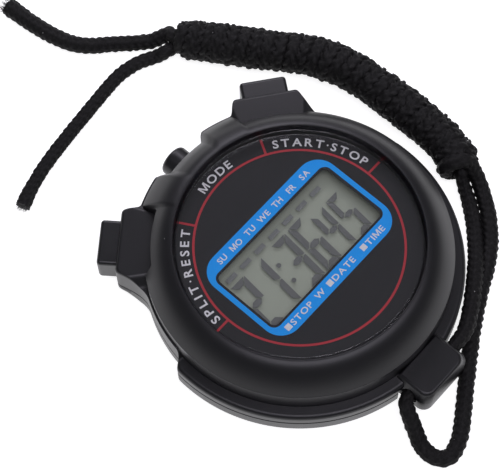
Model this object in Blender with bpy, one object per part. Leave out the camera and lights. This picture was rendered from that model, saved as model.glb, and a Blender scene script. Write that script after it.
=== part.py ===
"""A digital stopwatch with three push buttons and a wound lanyard.

The case lies on its flat back. The origin is the centre of the back, +Z points out of the face,
+Y points to 12 o'clock, where the MODE button is, and the lanyard lug is at 6 o'clock.
"""

import math

import bmesh
import bpy
from mathutils import Matrix, Vector

# Driving dimensions, in metres. An angle is in degrees clockwise from 12 o'clock.
CASE_R = 0.0320  # lower band and upper shoulders
WAIST_R = 0.0299  # finger notches between the button housings and the band
CAVITY_R = 0.0270
CLEAR = 0.0003  # gap between neighbours

BEZEL_R, BEZEL_Z = 0.0238, 0.01706  # inner edge of the bezel, the highest point of the case
DRUM_R, DRUM_Z = 0.0294, 0.0121  # outer edge of the bezel
SHOULDER_R, SHOULDER_Z = 0.0314, 0.0112
BEZEL_CROWN = 1.8  # power of the bezel's fall from its inner to its outer edge
BAND_Z = 0.0071  # top of the lower band
HOUSING_Z = 0.0110  # top of the button housings
HOUSING_LOW = 0.0020  # their underside
HOUSING_END = 0.0346  # flat outer end, from the centre
PARTING_Z = 0.0045
FLOOR_Z = 0.0020
PLATE_LOW, PLATE_TOP = 0.0127, 0.0134  # dial plate of the front case
WINDOW = (0.0330, 0.0166)

BUTTON_ANGLE = 37.7
BUTTON_SIZE = (0.0094, 0.0065)
BUTTON_Z = 0.00675
BUTTON_END = 0.0381
MODE_R, MODE_Z, MODE_END = 0.00315, 0.0058, 0.0335
BUTTON_BACK = 0.0276
FLANGE_NEAR, FLANGE_FAR = 0.0252, 0.0260
STEM_TIP = 0.0242
STEM_Z = (0.0040, 0.0079)

LUG_HALF, LUG_TOP_HALF = 0.0064, 0.0054
LUG_END, LUG_ROOT = -0.0371, -0.0293
LUG_LOW, LUG_TOP = 0.0023, 0.0080
HOLE_Y, HOLE_Z, HOLE_R = -0.0330, 0.0050, 0.00175

FILM_R, FILM_Z = 0.0234, (0.0137, 0.0140)
FILM_WINDOW, FILM_CORNER = (0.03206, 0.0157), 0.0015
LENS_Z = (0.0143, 0.0164)
GLASS = (0.0360, 0.0210)
GLASS_Z = (0.0109, 0.0124)
REFLECTOR, REFLECTOR_Z = (0.0350, 0.0165), (0.0104, 0.0106)
ZEBRA, ZEBRA_Y, ZEBRA_Z = (0.0340, 0.0016), 0.0094, (0.0095, 0.0106)
HOLDER, HOLDER_Z = (0.0390, 0.0240), (0.0095, 0.0124)
BOARD_R, BOARD_Z = 0.0252, (0.0082, 0.0092)

BOSS_RADIUS, BOSS_ANGLES = 0.0242, (70, 150, -150, -70)
BOSS_R, PILOT_R, HEAD_R = 0.0023, 0.0013, 0.0019
EARS = ((0, 0.0136), (0.0165, -0.0136), (-0.0165, -0.0136))
BATTERY_AT = (-0.0065, -0.0130)
BATTERY_R, BATTERY_Z = 0.0058, (0.0015, 0.0069)
COVER_R, COVER_TAB, COVER_TAB_R, COVER_T = 0.0074, 0.0094, 0.0026, 0.0011
PIEZO_AT, PIEZO_R, PIEZO_Z = (0.0050, 0.0080), 0.0100, (0.0023, 0.0028)
PIEZO_RIM_R = 0.0070  # ceramic disc on the brass one
SPRING_R, SPRING_TURNS, SPRING_WIRE_R = 0.0011, 6, 0.00015
BLOB_AT, BLOB_R, BLOB_T = (-0.0070, 0.0035), 0.0042, 0.0012
CRYSTAL_AT, CRYSTAL_R, CRYSTAL_LENGTH = (0.0080, -0.0060), 0.0010, 0.0060
LEAF_R, LEAF_WIDTH, LEAF_T = 0.0236, 0.0030, 0.0002  # a button's contact leaf stands at LEAF_R

CORD_D = 0.0028
CORD_REST = 0.00145  # height of the cord's centre where it lies
GRIP_R = 0.0043  # the wound grip: one strand round the other
GRIP_REST = 0.00435
LOOP_STEP, TAIL_STEP, GRIP_STEP = 0.0027, 0.0056, 0.0045

GRIP_ROUTE = [
    (0.0213, 0.0520), (0.0238, 0.0479), (0.0280, 0.0414), (0.0322, 0.0349), (0.0364, 0.0284),
    (0.0387, 0.0220), (0.0396, 0.0150), (0.0398, 0.0060), (0.0395, -0.0023), (0.0384, -0.0072),
    (0.0368, -0.0106),
]
LOOP_ROUTE = [
    (0.0357, -0.0117, 0.0033), (0.0344, -0.0140, 0.0020), (0.0324, -0.0169, 0.0015),
    (0.0294, -0.0202, 0.0017), (0.0260, -0.0232, 0.0024), (0.0232, -0.0253, 0.0032),
    (0.0181, -0.0287, 0.0040), (0.0137, -0.0313, 0.0044), (0.0104, -0.0327, 0.0048),
    (0.0078, HOLE_Y, HOLE_Z), (0.0040, HOLE_Y, HOLE_Z), (-0.0040, HOLE_Y, HOLE_Z),
    (-0.0066, HOLE_Y, HOLE_Z), (-0.0079, -0.0335, 0.0049), (-0.0088, -0.0348, 0.0044),
    (-0.0095, -0.0364, 0.0034), (-0.0104, -0.0383, 0.0023), (-0.0113, -0.0402, 0.0016),
    (-0.0117, -0.0426, CORD_REST), (-0.0110, -0.0447, CORD_REST),
    (-0.0092, -0.0458, CORD_REST), (-0.0058, -0.0450, CORD_REST), (-0.0020, -0.0428, CORD_REST),
    (0.0026, -0.0397, CORD_REST), (0.0072, -0.0367, CORD_REST), (0.0118, -0.0338, CORD_REST),
    (0.0160, -0.0314, CORD_REST), (0.0203, -0.0291, CORD_REST), (0.0252, -0.0268, CORD_REST),
    (0.0298, -0.0239, CORD_REST), (0.0340, -0.0199, CORD_REST), (0.0369, -0.0159, 0.0021),
    (0.0387, -0.0124, 0.0036),
]
UPPER_TAIL = [
    (0.0213, 0.0539, 0.0036), (0.0196, 0.0554, 0.0023), (0.0175, 0.0570, CORD_REST),
    (0.0148, 0.0595, CORD_REST), (0.0121, 0.0622, CORD_REST), (0.0093, 0.0648, CORD_REST),
    (0.0071, 0.0680, CORD_REST), (0.0058, 0.0720, CORD_REST), (0.0051, 0.0760, CORD_REST),
    (0.0047, 0.0800, CORD_REST), (0.0045, 0.0841, CORD_REST),
]
LOWER_TAIL = [
    (0.0183, 0.0515, 0.0034), (0.0172, 0.0525, 0.0022), (0.0157, 0.0535, CORD_REST),
    (0.0125, 0.0551, CORD_REST), (0.0080, 0.0559, CORD_REST), (0.0036, 0.0556, CORD_REST),
    (-0.0016, 0.0550, CORD_REST), (-0.0068, 0.0544, CORD_REST), (-0.0119, 0.0537, CORD_REST),
    (-0.0170, 0.0528, CORD_REST), (-0.0215, 0.0516, CORD_REST), (-0.0260, 0.0499, CORD_REST),
]


# ---------------------------------------------------------------- scene and materials


def clear_scene():
    for obj in list(bpy.data.objects):
        bpy.data.objects.remove(obj)


def finish(name, colour, roughness, metallic=0.0):
    material = bpy.data.materials.new(name)
    material.use_nodes = True
    shader = material.node_tree.nodes["Principled BSDF"]
    shader.inputs["Base Color"].default_value = (*colour, 1)
    shader.inputs["Roughness"].default_value = roughness
    shader.inputs["Metallic"].default_value = metallic
    return material


def make_finishes():
    return {
        "case": finish("case_plastic", (0.018, 0.018, 0.020), 0.42),
        "button": finish("button_plastic", (0.016, 0.016, 0.018), 0.35),
        "lens": finish("clear_lens", (0.80, 0.82, 0.84), 0.05),
        "print": finish("dial_print", (0.030, 0.029, 0.033), 0.40),
        "display": finish("display_glass", (0.32, 0.34, 0.29), 0.25),
        "reflector": finish("reflector_foil", (0.62, 0.63, 0.60), 0.35, 0.6),
        "holder": finish("white_plastic", (0.70, 0.70, 0.68), 0.50),
        "rubber": finish("zebra_rubber", (0.10, 0.10, 0.11), 0.70),
        "board": finish("board_laminate", (0.05, 0.20, 0.08), 0.45),
        "epoxy": finish("chip_epoxy", (0.012, 0.012, 0.012), 0.25),
        "steel": finish("plated_steel", (0.62, 0.62, 0.62), 0.30, 1.0),
        "brass": finish("brass", (0.72, 0.53, 0.24), 0.32, 1.0),
        "cord": finish("braided_cord", (0.012, 0.012, 0.013), 0.80),
    }


# ---------------------------------------------------------------- mesh helpers


def keep(mesh_data, name, material=None, soft_angle=35):
    """Turns a bmesh into a named object with its faces pointing out."""
    bmesh.ops.recalc_face_normals(mesh_data, faces=mesh_data.faces)
    mesh = bpy.data.meshes.new(name)
    mesh_data.to_mesh(mesh)
    mesh_data.free()
    if material:
        mesh.materials.append(material)
    mesh.shade_smooth()
    mesh.set_sharp_from_angle(angle=math.radians(soft_angle))
    obj = bpy.data.objects.new(name, mesh)
    bpy.context.scene.collection.objects.link(obj)
    return obj


def prism(outline, low, high, bevel=0.0):
    """A straight solid on a closed outline."""
    mesh = bmesh.new()
    base = [mesh.verts.new((x, y, low)) for x, y in outline]
    top = [mesh.verts.new((x, y, high)) for x, y in outline]
    mesh.faces.new(base)
    mesh.faces.new(top)
    for i in range(len(outline)):
        j = (i + 1) % len(outline)
        mesh.faces.new((base[i], base[j], top[j], top[i]))
    if bevel:
        bmesh.ops.bevel(mesh, geom=mesh.edges, offset=bevel, segments=2, profile=0.6, affect="EDGES")
    return mesh


def circle(radius, steps=24, centre=(0, 0)):
    turns = [2 * math.pi * i / steps for i in range(steps)]
    return [(centre[0] + radius * math.cos(t), centre[1] + radius * math.sin(t)) for t in turns]


def rectangle(width, height, corner=0.0, steps=4, centre=(0, 0)):
    """A rectangle, with round corners where corner is given."""
    points = []
    for quarter, (sx, sy) in enumerate(((1, 1), (-1, 1), (-1, -1), (1, -1))):
        middle = (centre[0] + sx * (width / 2 - corner), centre[1] + sy * (height / 2 - corner))
        for i in range(steps + 1 if corner else 1):
            turn = math.radians(90 * quarter + (90 * i / steps if corner else 0))
            points.append((middle[0] + corner * math.cos(turn), middle[1] + corner * math.sin(turn)))
    return points


def turned(profile, steps=32, centre=(0, 0)):
    """A solid of revolution about a vertical axis, from (radius, height) points between its poles."""
    mesh = bmesh.new()
    rings = []
    for radius, height in profile:
        if radius == 0:
            rings.append([mesh.verts.new((*centre, height))])
        else:
            rings.append([mesh.verts.new((x, y, height)) for x, y in circle(radius, steps, centre)])
    bridge(mesh, rings)
    return mesh


def bridge(mesh, rings, closed=False):
    """Joins rings of points with faces. A ring of one point is a pole."""
    pairs = list(zip(rings, rings[1:])) + ([(rings[-1], rings[0])] if closed else [])
    for one, other in pairs:
        count = max(len(one), len(other))
        for i in range(count):
            j = (i + 1) % count
            corners = [one[i % len(one)], one[j % len(one)], other[j % len(other)], other[i % len(other)]]
            mesh.faces.new(list(dict.fromkeys(corners)))


def merged(*meshes):
    """One bmesh that holds all of the given ones, side by side."""
    whole = meshes[0]
    for other in meshes[1:]:
        data = bpy.data.meshes.new("merge")
        other.to_mesh(data)
        other.free()
        whole.from_mesh(data)
        bpy.data.meshes.remove(data)
    return whole


def helper(obj):
    obj.hide_render = True
    obj.display_type = "WIRE"
    return obj


def combine(obj, operation, *others):
    """Adds a Boolean modifier for each helper."""
    for other in others:
        modifier = obj.modifiers.new(f"{operation.lower()} {other.name}", "BOOLEAN")
        modifier.operation = operation
        modifier.solver = "EXACT"
        modifier.object = helper(other)


def ease(low, high, value):
    """0 below low, 1 above high, and a smooth rise between them."""
    t = min(1.0, max(0.0, (value - low) / (high - low)))
    return t * t * (3 - 2 * t)


def keyed(keys, value):
    """Reads a smooth value between (angle, value) keys."""
    for (a0, v0), (a1, v1) in zip(keys, keys[1:]):
        if value <= a1:
            return v0 + (v1 - v0) * ease(a0, a1, value)
    return keys[-1][1]


def clock(angle, radius, height=0.0):
    """The point at a clock angle, in degrees clockwise from 12 o'clock."""
    turn = math.radians(angle)
    return (radius * math.sin(turn), radius * math.cos(turn), height)


# ---------------------------------------------------------------- the case's outer form


HOUSING = (23.8, 27.2, 48.2, 60.0)  # foot and top of each side wall of a button housing
SPANS = ((0, 8, 4), (8, 12, 1), (12, 23.8, 3), (23.8, 27.2, 0.85), (27.2, 48.2, 5.25),
         (48.2, 60, 1.18), (60, 82, 5.5), (82, 86, 1), (86, 180, 5.875))


def wall_radius(angle):
    """Radius of the case's side wall at a clock angle."""
    a = abs(angle)
    foot, top, far_top, far_foot = HOUSING
    if top <= a <= far_top:
        return HOUSING_END / math.cos(math.radians(a - BUTTON_ANGLE))
    corner = HOUSING_END / math.cos(math.radians(top - BUTTON_ANGLE))
    keys = [(8, 0.0296), (12, CASE_R), (foot, CASE_R), (top, corner)]
    if a < top:
        return keyed(keys, max(a, 8))
    if a < far_foot:
        fall = (a - far_top) / (far_foot - far_top)
        return WAIST_R + (corner - WAIST_R) * (1 - fall) ** 2.2
    return keyed([(82, WAIST_R), (86, CASE_R)], max(a, 82))


def bezel_point(angle, share):
    """A point of the bezel's slope: share 0 is its inner edge, 1 its outer edge."""
    a = abs(angle)
    shoulder = ease(8, 12, a) * (1 - ease(23.8, 26, a))
    cut = ease(24.6, 26.6, a) * (1 - ease(49.5, 52.5, a))
    low_r = DRUM_R + (SHOULDER_R - DRUM_R) * shoulder
    low_z = DRUM_Z + (SHOULDER_Z - DRUM_Z) * shoulder
    t = share * (1 - 0.25 * cut)
    return BEZEL_R + (low_r - BEZEL_R) * t, BEZEL_Z - (BEZEL_Z - low_z) * t**BEZEL_CROWN


def shelf(angle):
    """Height and edge round of the shelf outside the bezel: housing top, band top, or none."""
    a = abs(angle)
    height = keyed([(8, 0.0095), (12, 0.0107), (23.8, 0.0107), (26, HOUSING_Z), (50, HOUSING_Z),
                    (55, 0.0095), (81, 0.0095), (84, BAND_Z)], max(a, 8))
    edge = keyed([(8, 0.0001), (12, 0.0003), (23.8, 0.0003), (27.2, 0.0008), (48.2, 0.0008),
                  (54, 0.0001), (83, 0.0001), (86, 0.0009)], max(a, 8))
    return height, edge


def clock_angles():
    right = []
    for low, high, step in SPANS:
        count = round((high - low) / step)
        right += [low + (high - low) * i / count for i in range(count)]
    return right + [180] + [-a for a in reversed(right[1:])]


def front_section(angle):
    wall = wall_radius(angle)
    height, edge = shelf(angle)
    slope = [bezel_point(angle, share) for share in (0, 0.25, 0.5, 0.7, 0.85, 1)]
    foot = min(slope[-1][0] + 0.00012, wall - edge - 0.00004)
    return slope + [
        (foot, height + 0.00004),
        (wall - edge, height),
        (wall - 0.3 * edge, height - 0.3 * edge),
        (wall, height - edge),
        (wall, PARTING_Z + CLEAR / 2),
        (CAVITY_R, PARTING_Z + CLEAR / 2),
        (CAVITY_R, PLATE_LOW),
        (0.006, PLATE_LOW),
        (0.006, PLATE_TOP),
        (BEZEL_R, PLATE_TOP),
    ]


def rear_section(angle):
    wall = wall_radius(angle)
    a = abs(angle)
    raised = ease(24, 27, a) * (1 - ease(49, 54, a))
    low = HOUSING_LOW * raised
    edge = 0.0016 - 0.0006 * raised
    back = 0.0284
    return [
        (0, 0),
        (back, 0),
        (min(back + 0.0002 + 0.0010 * raised, wall - edge), low * 0.9),
        (wall - edge, low + 0.00004),
        (wall - 0.3 * edge, low + 0.3 * edge),
        (wall, low + edge),
        (wall, PARTING_Z - CLEAR / 2),
        (CAVITY_R, PARTING_Z - CLEAR / 2),
        (CAVITY_R, FLOOR_Z),
        (0, FLOOR_Z),
    ]


def clock_solid(section, closed):
    """Sweeps a section, which may change with the clock angle, once round the case."""
    mesh = bmesh.new()
    angles = clock_angles()
    sections = [section(angle) for angle in angles]
    rings = []
    for row in range(len(sections[0])):
        if sections[0][row][0] == 0:
            rings.append([mesh.verts.new((0, 0, sections[0][row][1]))])
        else:
            ring = [mesh.verts.new(clock(a, *s[row])) for a, s in zip(angles, sections)]
            rings.append(ring)
    bridge(mesh, rings, closed)
    return mesh


def boss_places():
    return [clock(angle, BOSS_RADIUS)[:2] for angle in BOSS_ANGLES]


def button_aperture(name, angle):
    """Cutter for a button's way through both shells."""
    width, height = (size + 2 * CLEAR for size in BUTTON_SIZE)
    mesh = prism(rectangle(width, 0.012, centre=(0, 0.0315)), BUTTON_Z - height / 2, BUTTON_Z + height / 2)
    mesh.transform(Matrix.Rotation(-math.radians(angle), 4, "Z"))
    return keep(mesh, name)


def along_y(mesh, height):
    """Turns a solid made about +Z so that it lies along +Y at a height."""
    mesh.transform(Matrix.Translation((0, 0, height)) @ Matrix.Rotation(-math.pi / 2, 4, "X"))
    return mesh


def mode_aperture():
    mesh = prism(circle(MODE_R + CLEAR, 32), 0.0255, 0.036)
    return keep(along_y(mesh, MODE_Z), "mode_aperture")


def apertures():
    start = button_aperture("start_aperture", BUTTON_ANGLE)
    split = button_aperture("split_aperture", -BUTTON_ANGLE)
    return [start, split, mode_aperture()]


def lug_block():
    """The lanyard lug: wider below than above, with its edges rounded."""
    mesh = bmesh.new()
    corners = []
    for z, half, end in ((LUG_LOW, LUG_HALF, LUG_END), (LUG_TOP - 0.0022, LUG_HALF, LUG_END),
                         (LUG_TOP, LUG_TOP_HALF, LUG_END + 0.0005)):
        outline = ((-half, LUG_ROOT), (half, LUG_ROOT), (half, end), (-half, end))
        corners.append([mesh.verts.new((x, y, z)) for x, y in outline])
    mesh.faces.new(corners[0])
    mesh.faces.new(corners[-1])
    bridge(mesh, corners)
    outer = [e for e in mesh.edges if all(v.co.y < -0.036 for v in e.verts)]
    upright = [e for e in outer if abs(e.verts[0].co.x - e.verts[1].co.x) < 0.003]
    bmesh.ops.bevel(mesh, geom=upright, offset=0.0020, segments=4, profile=0.5, affect="EDGES")
    top = [e for e in mesh.edges if all(v.co.z > LUG_TOP - 0.0001 for v in e.verts)]
    bmesh.ops.bevel(mesh, geom=top, offset=0.0005, segments=2, profile=0.5, affect="EDGES")
    return keep(mesh, "lug_block")


def make_front_case(finishes, cuts):
    case = keep(clock_solid(front_section, True), "front_case", finishes["case"], 28)
    bosses = [prism(circle(BOSS_R, 20, place), PARTING_Z + CLEAR / 2, PLATE_LOW + 0.0003)
              for place in boss_places()]
    pilots = [prism(circle(PILOT_R, 16, place), 0.003, 0.0100) for place in boss_places()]
    window = prism(rectangle(*WINDOW, 0.0012), 0.012, 0.0140)
    hole = prism(circle(HOLE_R, 24), -0.010, 0.010)
    hole.transform(Matrix.Translation((0, HOLE_Y, HOLE_Z)) @ Matrix.Rotation(math.pi / 2, 4, "Y"))
    combine(case, "UNION", lug_block(), keep(merged(*bosses), "front_bosses"))
    combine(case, "DIFFERENCE", keep(merged(*pilots), "front_pilots"), keep(window, "window_cut"),
            keep(hole, "lug_hole"), *cuts)


def cover_outline(grow):
    """A disc with a tab towards +X, as one outline."""
    reach = COVER_TAB
    half = COVER_TAB_R + grow
    start = math.asin(half / (COVER_R + grow))
    steps = 28
    big = [start + (2 * math.pi - 2 * start) * i / steps for i in range(steps + 1)]
    points = [((COVER_R + grow) * math.cos(t), (COVER_R + grow) * math.sin(t)) for t in big]
    tip = [-math.pi / 2 + math.pi * i / 10 for i in range(11)]
    points += [(reach + half * math.cos(t), half * math.sin(t)) for t in tip]
    return [(x + BATTERY_AT[0], y + BATTERY_AT[1]) for x, y in points]


def cover_screw_place():
    return (BATTERY_AT[0] + COVER_TAB, BATTERY_AT[1])


def make_rear_case(finishes, cuts):
    case = keep(clock_solid(rear_section, False), "rear_case", finishes["case"], 28)
    places = boss_places()
    posts = [prism(circle(0.0026, 20, place), FLOOR_Z - 0.0005, PARTING_Z - CLEAR / 2) for place in places]
    posts.append(prism(circle(0.0022, 20, cover_screw_place()), FLOOR_Z - 0.0003, 0.0052))
    holes = [prism(circle(PILOT_R, 16, place), -0.001, 0.006) for place in places]
    sinks = [prism(circle(HEAD_R + CLEAR, 20, place), -0.001, 0.0018) for place in places]
    battery_well = prism(circle(BATTERY_R + CLEAR, 32, BATTERY_AT), -0.001, 0.004)
    recess = prism(cover_outline(CLEAR), -0.001, COVER_T + CLEAR)
    pilot = prism(circle(0.0011, 16, cover_screw_place()), 0.0005, 0.0047)
    clearance = prism(rectangle(0.0144, 0.012, centre=(0, -0.0350)), -0.001, 0.006)
    combine(case, "UNION", keep(merged(*posts), "rear_posts"))
    combine(case, "DIFFERENCE", keep(merged(*holes), "rear_holes"), keep(merged(*sinks), "rear_sinks"),
            keep(battery_well, "battery_well"), keep(recess, "cover_recess"),
            keep(pilot, "cover_pilot"), keep(clearance, "lug_clearance"), *cuts)


# ---------------------------------------------------------------- dial and display


def make_dial(finishes):
    film = keep(prism(circle(FILM_R, 72), *FILM_Z), "dial_film", finishes["print"])
    opening = prism(rectangle(*FILM_WINDOW, FILM_CORNER), 0.013, 0.015)
    combine(film, "DIFFERENCE", keep(opening, "film_opening"))
    low, high = LENS_Z
    edge = 0.0003
    profile = [(0, low), (FILM_R - edge, low), (FILM_R, low + edge), (FILM_R, high - edge),
               (FILM_R - edge, high), (0, high)]
    keep(turned(profile, 72), "lens", finishes["lens"])


def make_display(finishes):
    keep(prism(rectangle(*GLASS), *GLASS_Z), "lcd_panel", finishes["display"])
    keep(prism(rectangle(*REFLECTOR), *REFLECTOR_Z), "lcd_reflector", finishes["reflector"])
    for name, side in (("zebra_strip_upper", 1), ("zebra_strip_lower", -1)):
        outline = rectangle(*ZEBRA, centre=(0, side * ZEBRA_Y))
        keep(prism(outline, *ZEBRA_Z), name, finishes["rubber"])
    low, high = HOLDER_Z
    holder = keep(prism(rectangle(*HOLDER, 0.001), low, high), "lcd_holder", finishes["holder"])
    ears = [prism(circle(0.0020, 20, place), low, low + 0.0022) for place in EARS]
    opening = prism(rectangle(GLASS[0] + 2 * CLEAR, GLASS[1] + 2 * CLEAR), low - 0.001, high + 0.001)
    pilots = [prism(circle(0.0010, 12, place), low - 0.001, low + 0.0018) for place in EARS]
    combine(holder, "UNION", keep(merged(*ears), "holder_ears"))
    combine(holder, "DIFFERENCE", keep(opening, "holder_opening"), keep(merged(*pilots), "holder_pilots"))


# ---------------------------------------------------------------- works


def strip(name, points, width, thickness, material, place=Matrix()):
    """A bent metal strip: the (reach, height) points are one side of its edge view, along +Y."""
    mesh = bmesh.new()
    sides = []
    for i, (reach, height) in enumerate(points):
        before = Vector(points[max(i - 1, 0)])
        after = Vector(points[min(i + 1, len(points) - 1)])
        along = (after - before).normalized()
        normal = Vector((-along.y, along.x)) * thickness
        other = Vector((reach, height)) + normal
        sides.append([mesh.verts.new((x, *p)) for x, p in (
            (-width / 2, (reach, height)), (width / 2, (reach, height)),
            (width / 2, other), (-width / 2, other))])
    mesh.faces.new(sides[0])
    mesh.faces.new(sides[-1])
    bridge(mesh, sides)
    mesh.transform(place)
    return keep(mesh, name, material)


def make_board(finishes):
    low, high = BOARD_Z
    board = keep(prism(circle(BOARD_R, 64), low, high), "circuit_board", finishes["board"])
    gaps = [prism(circle(BOSS_R + CLEAR, 20, place), low - 0.001, high + 0.001) for place in boss_places()]
    holes = [prism(circle(0.0011, 12, place), low - 0.001, high + 0.001) for place in EARS]
    combine(board, "DIFFERENCE", keep(merged(*gaps), "board_gaps"), keep(merged(*holes), "board_holes"))
    slopes = [math.radians(t) for t in (25, 50, 75, 90)]
    dome = [(0, -BLOB_T)] + [(BLOB_R * math.sin(t), -BLOB_T * math.cos(t)) for t in slopes] + [(0, 0)]
    blob = turned(dome, 24, BLOB_AT)
    blob.transform(Matrix.Translation((0, 0, low - CLEAR)))
    keep(blob, "chip_blob", finishes["epoxy"])
    edge = 0.0002
    can = turned([(0, 0), (CRYSTAL_R - edge, 0), (CRYSTAL_R, edge), (CRYSTAL_R, CRYSTAL_LENGTH),
                  (0, CRYSTAL_LENGTH)], 16)
    place = Matrix.Translation((*CRYSTAL_AT, low - CRYSTAL_R - CLEAR))
    can.transform(place @ Matrix.Rotation(math.pi / 2, 4, "Y"))
    keep(can, "quartz_crystal", finishes["steel"])


def make_battery(finishes):
    low, high = BATTERY_Z
    neck = high - 0.0007
    profile = [(0, low), (BATTERY_R - 0.0002, low), (BATTERY_R, low + 0.0002), (BATTERY_R, neck - 0.0002),
               (BATTERY_R - 0.0002, neck), (0.0050, neck), (0.0048, high), (0, high)]
    keep(turned(profile, 32, BATTERY_AT), "battery", finishes["steel"])
    board = BOARD_Z[0] - CLEAR
    place = Matrix.Translation((*BATTERY_AT, 0))
    minus = [(-0.0060, board - LEAF_T), (-0.0035, board - LEAF_T), (0, high + 0.0001),
             (0.0025, high + 0.0004)]
    strip("battery_contact_minus", minus, 0.0032, LEAF_T, finishes["brass"], place)
    side = BATTERY_R + 0.0003
    plus = [(side, 0.0032), (side, board)]
    turn = Matrix.Rotation(math.radians(-50), 4, "Z")
    strip("battery_contact_plus", plus, 0.0040, -LEAF_T, finishes["brass"], place @ turn)
    cover = keep(prism(cover_outline(0), 0, COVER_T), "battery_cover", finishes["case"])
    x, y = cover_screw_place()
    sink = [(0, -0.001), (0.0018, -0.001), (0.0018, 0.0006), (0.0013, 0.0006), (0.0013, 0.002), (0, 0.002)]
    combine(cover, "DIFFERENCE", keep(turned(sink, 20, (x, y)), "cover_sink"))
    make_screw("battery_cover_screw", (x, y, 0.0001), 0.0015, 0.0005, 0.0008, 0.0042, finishes["steel"])


def make_screw(name, at, head_r, head_t, shank_r, length, material):
    """A pan-head screw with a cross recess, driven up. at is the centre of its head's outer face."""
    profile = [(0, 0), (head_r - 0.0002, 0), (head_r, 0.0002), (head_r, head_t), (shank_r, head_t),
               (shank_r, length - 0.0004), (shank_r * 0.4, length), (0, length)]
    place = Matrix.Translation(at)
    mesh = turned(profile, 20)
    mesh.transform(place)
    screw = keep(mesh, name, material)
    half, arm = head_r * 0.16, head_r * 0.62
    cross = [(half, half), (half, arm), (-half, arm), (-half, half), (-arm, half), (-arm, -half),
             (-half, -half), (-half, -arm), (half, -arm), (half, -half), (arm, -half), (arm, half)]
    recess = prism(cross, -0.001, head_t * 0.6)
    recess.transform(place)
    combine(screw, "DIFFERENCE", keep(recess, f"{name}_recess"))


def make_screws(finishes):
    for number, (x, y) in enumerate(boss_places(), 1):
        make_screw(f"case_screw_{number}", (x, y, 0.0004), HEAD_R, 0.0011, 0.0010, 0.0090,
                   finishes["steel"])
    low = BOARD_Z[0] - CLEAR
    for number, (x, y) in enumerate(EARS, 1):
        make_screw(f"board_screw_{number}", (x, y, low - 0.0008), 0.0016, 0.0008, 0.0007, 0.0034,
                   finishes["steel"])


def make_sounder(finishes):
    low, high = PIEZO_Z
    middle = (low + high) / 2
    profile = [(0, low), (PIEZO_R, low), (PIEZO_R, middle), (PIEZO_RIM_R, middle), (PIEZO_RIM_R, high),
               (0, high)]
    keep(turned(profile, 40, PIEZO_AT), "piezo_disc", finishes["brass"])
    bottom = high + CLEAR + SPRING_WIRE_R
    top = BOARD_Z[0] - CLEAR - SPRING_WIRE_R
    steps = 12
    count = SPRING_TURNS * steps
    points = []
    for i in range(count + 1):
        turn = 2 * math.pi * i / steps
        x, y = SPRING_R * math.cos(turn), SPRING_R * math.sin(turn)
        points.append((PIEZO_AT[0] + x, PIEZO_AT[1] + y, bottom + (top - bottom) * i / count))
    tube("piezo_spring", points, SPRING_WIRE_R, finishes["steel"], 1)


# ---------------------------------------------------------------- buttons


def place_button(obj, angle, height):
    """Puts a button made along +Y on its own slide axis."""
    obj.location = (0, 0, height)
    obj.rotation_euler = (0, 0, -math.radians(angle))


def stem(height, neck, half_flange):
    """Neck, flange and stem behind a button's cap, as outlines in plan."""
    low, high = (z - height for z in STEM_Z)
    outline = [(neck, BUTTON_BACK + 0.0005), (neck, FLANGE_FAR), (half_flange, FLANGE_FAR),
               (half_flange, FLANGE_NEAR), (0.0014, FLANGE_NEAR), (0.0014, STEM_TIP)]
    outline += [(-x, y) for x, y in reversed(outline)]
    return prism(outline, low, high)


def make_buttons(finishes):
    width, height = BUTTON_SIZE
    middle = (BUTTON_BACK + BUTTON_END) / 2
    for name, angle in (("start_stop_button", BUTTON_ANGLE), ("split_reset_button", -BUTTON_ANGLE)):
        outline = rectangle(width, BUTTON_END - BUTTON_BACK, centre=(0, middle))
        cap = keep(prism(outline, -height / 2, height / 2, 0.0008), name, finishes["button"])
        combine(cap, "UNION", keep(stem(BUTTON_Z, 0.0030, 0.0057), f"{name}_stem"))
        place_button(cap, angle, BUTTON_Z)
        place_button(bpy.data.objects[f"{name}_stem"], angle, BUTTON_Z)
    edge = 0.0008
    profile = [(0, BUTTON_BACK), (MODE_R, BUTTON_BACK), (MODE_R, MODE_END - edge)]
    profile += [(MODE_R - edge * (1 - math.cos(t)), MODE_END - edge * (1 - math.sin(t)))
                for t in (math.radians(30), math.radians(60))]
    profile += [(MODE_R - edge, MODE_END), (0, MODE_END + 0.0001)]
    cap = keep(along_y(turned(profile, 32), 0), "mode_button", finishes["button"])
    combine(cap, "UNION", keep(stem(MODE_Z, 0.0023, 0.0046), "mode_button_stem"))
    place_button(cap, 0, MODE_Z)
    place_button(bpy.data.objects["mode_button_stem"], 0, MODE_Z)


def make_contacts(finishes):
    foot = BOARD_Z[0] - CLEAR - LEAF_T
    points = [(LEAF_R - 0.0024, foot), (LEAF_R - 0.0004, foot), (LEAF_R, foot - 0.0004), (LEAF_R, 0.0049)]
    for name, angle in (("start_stop_contact", BUTTON_ANGLE), ("split_reset_contact", -BUTTON_ANGLE),
                        ("mode_contact", 0)):
        turn = Matrix.Rotation(-math.radians(angle), 4, "Z")
        strip(name, points, LEAF_WIDTH, LEAF_T, finishes["brass"], turn)


# ---------------------------------------------------------------- lanyard


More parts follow.
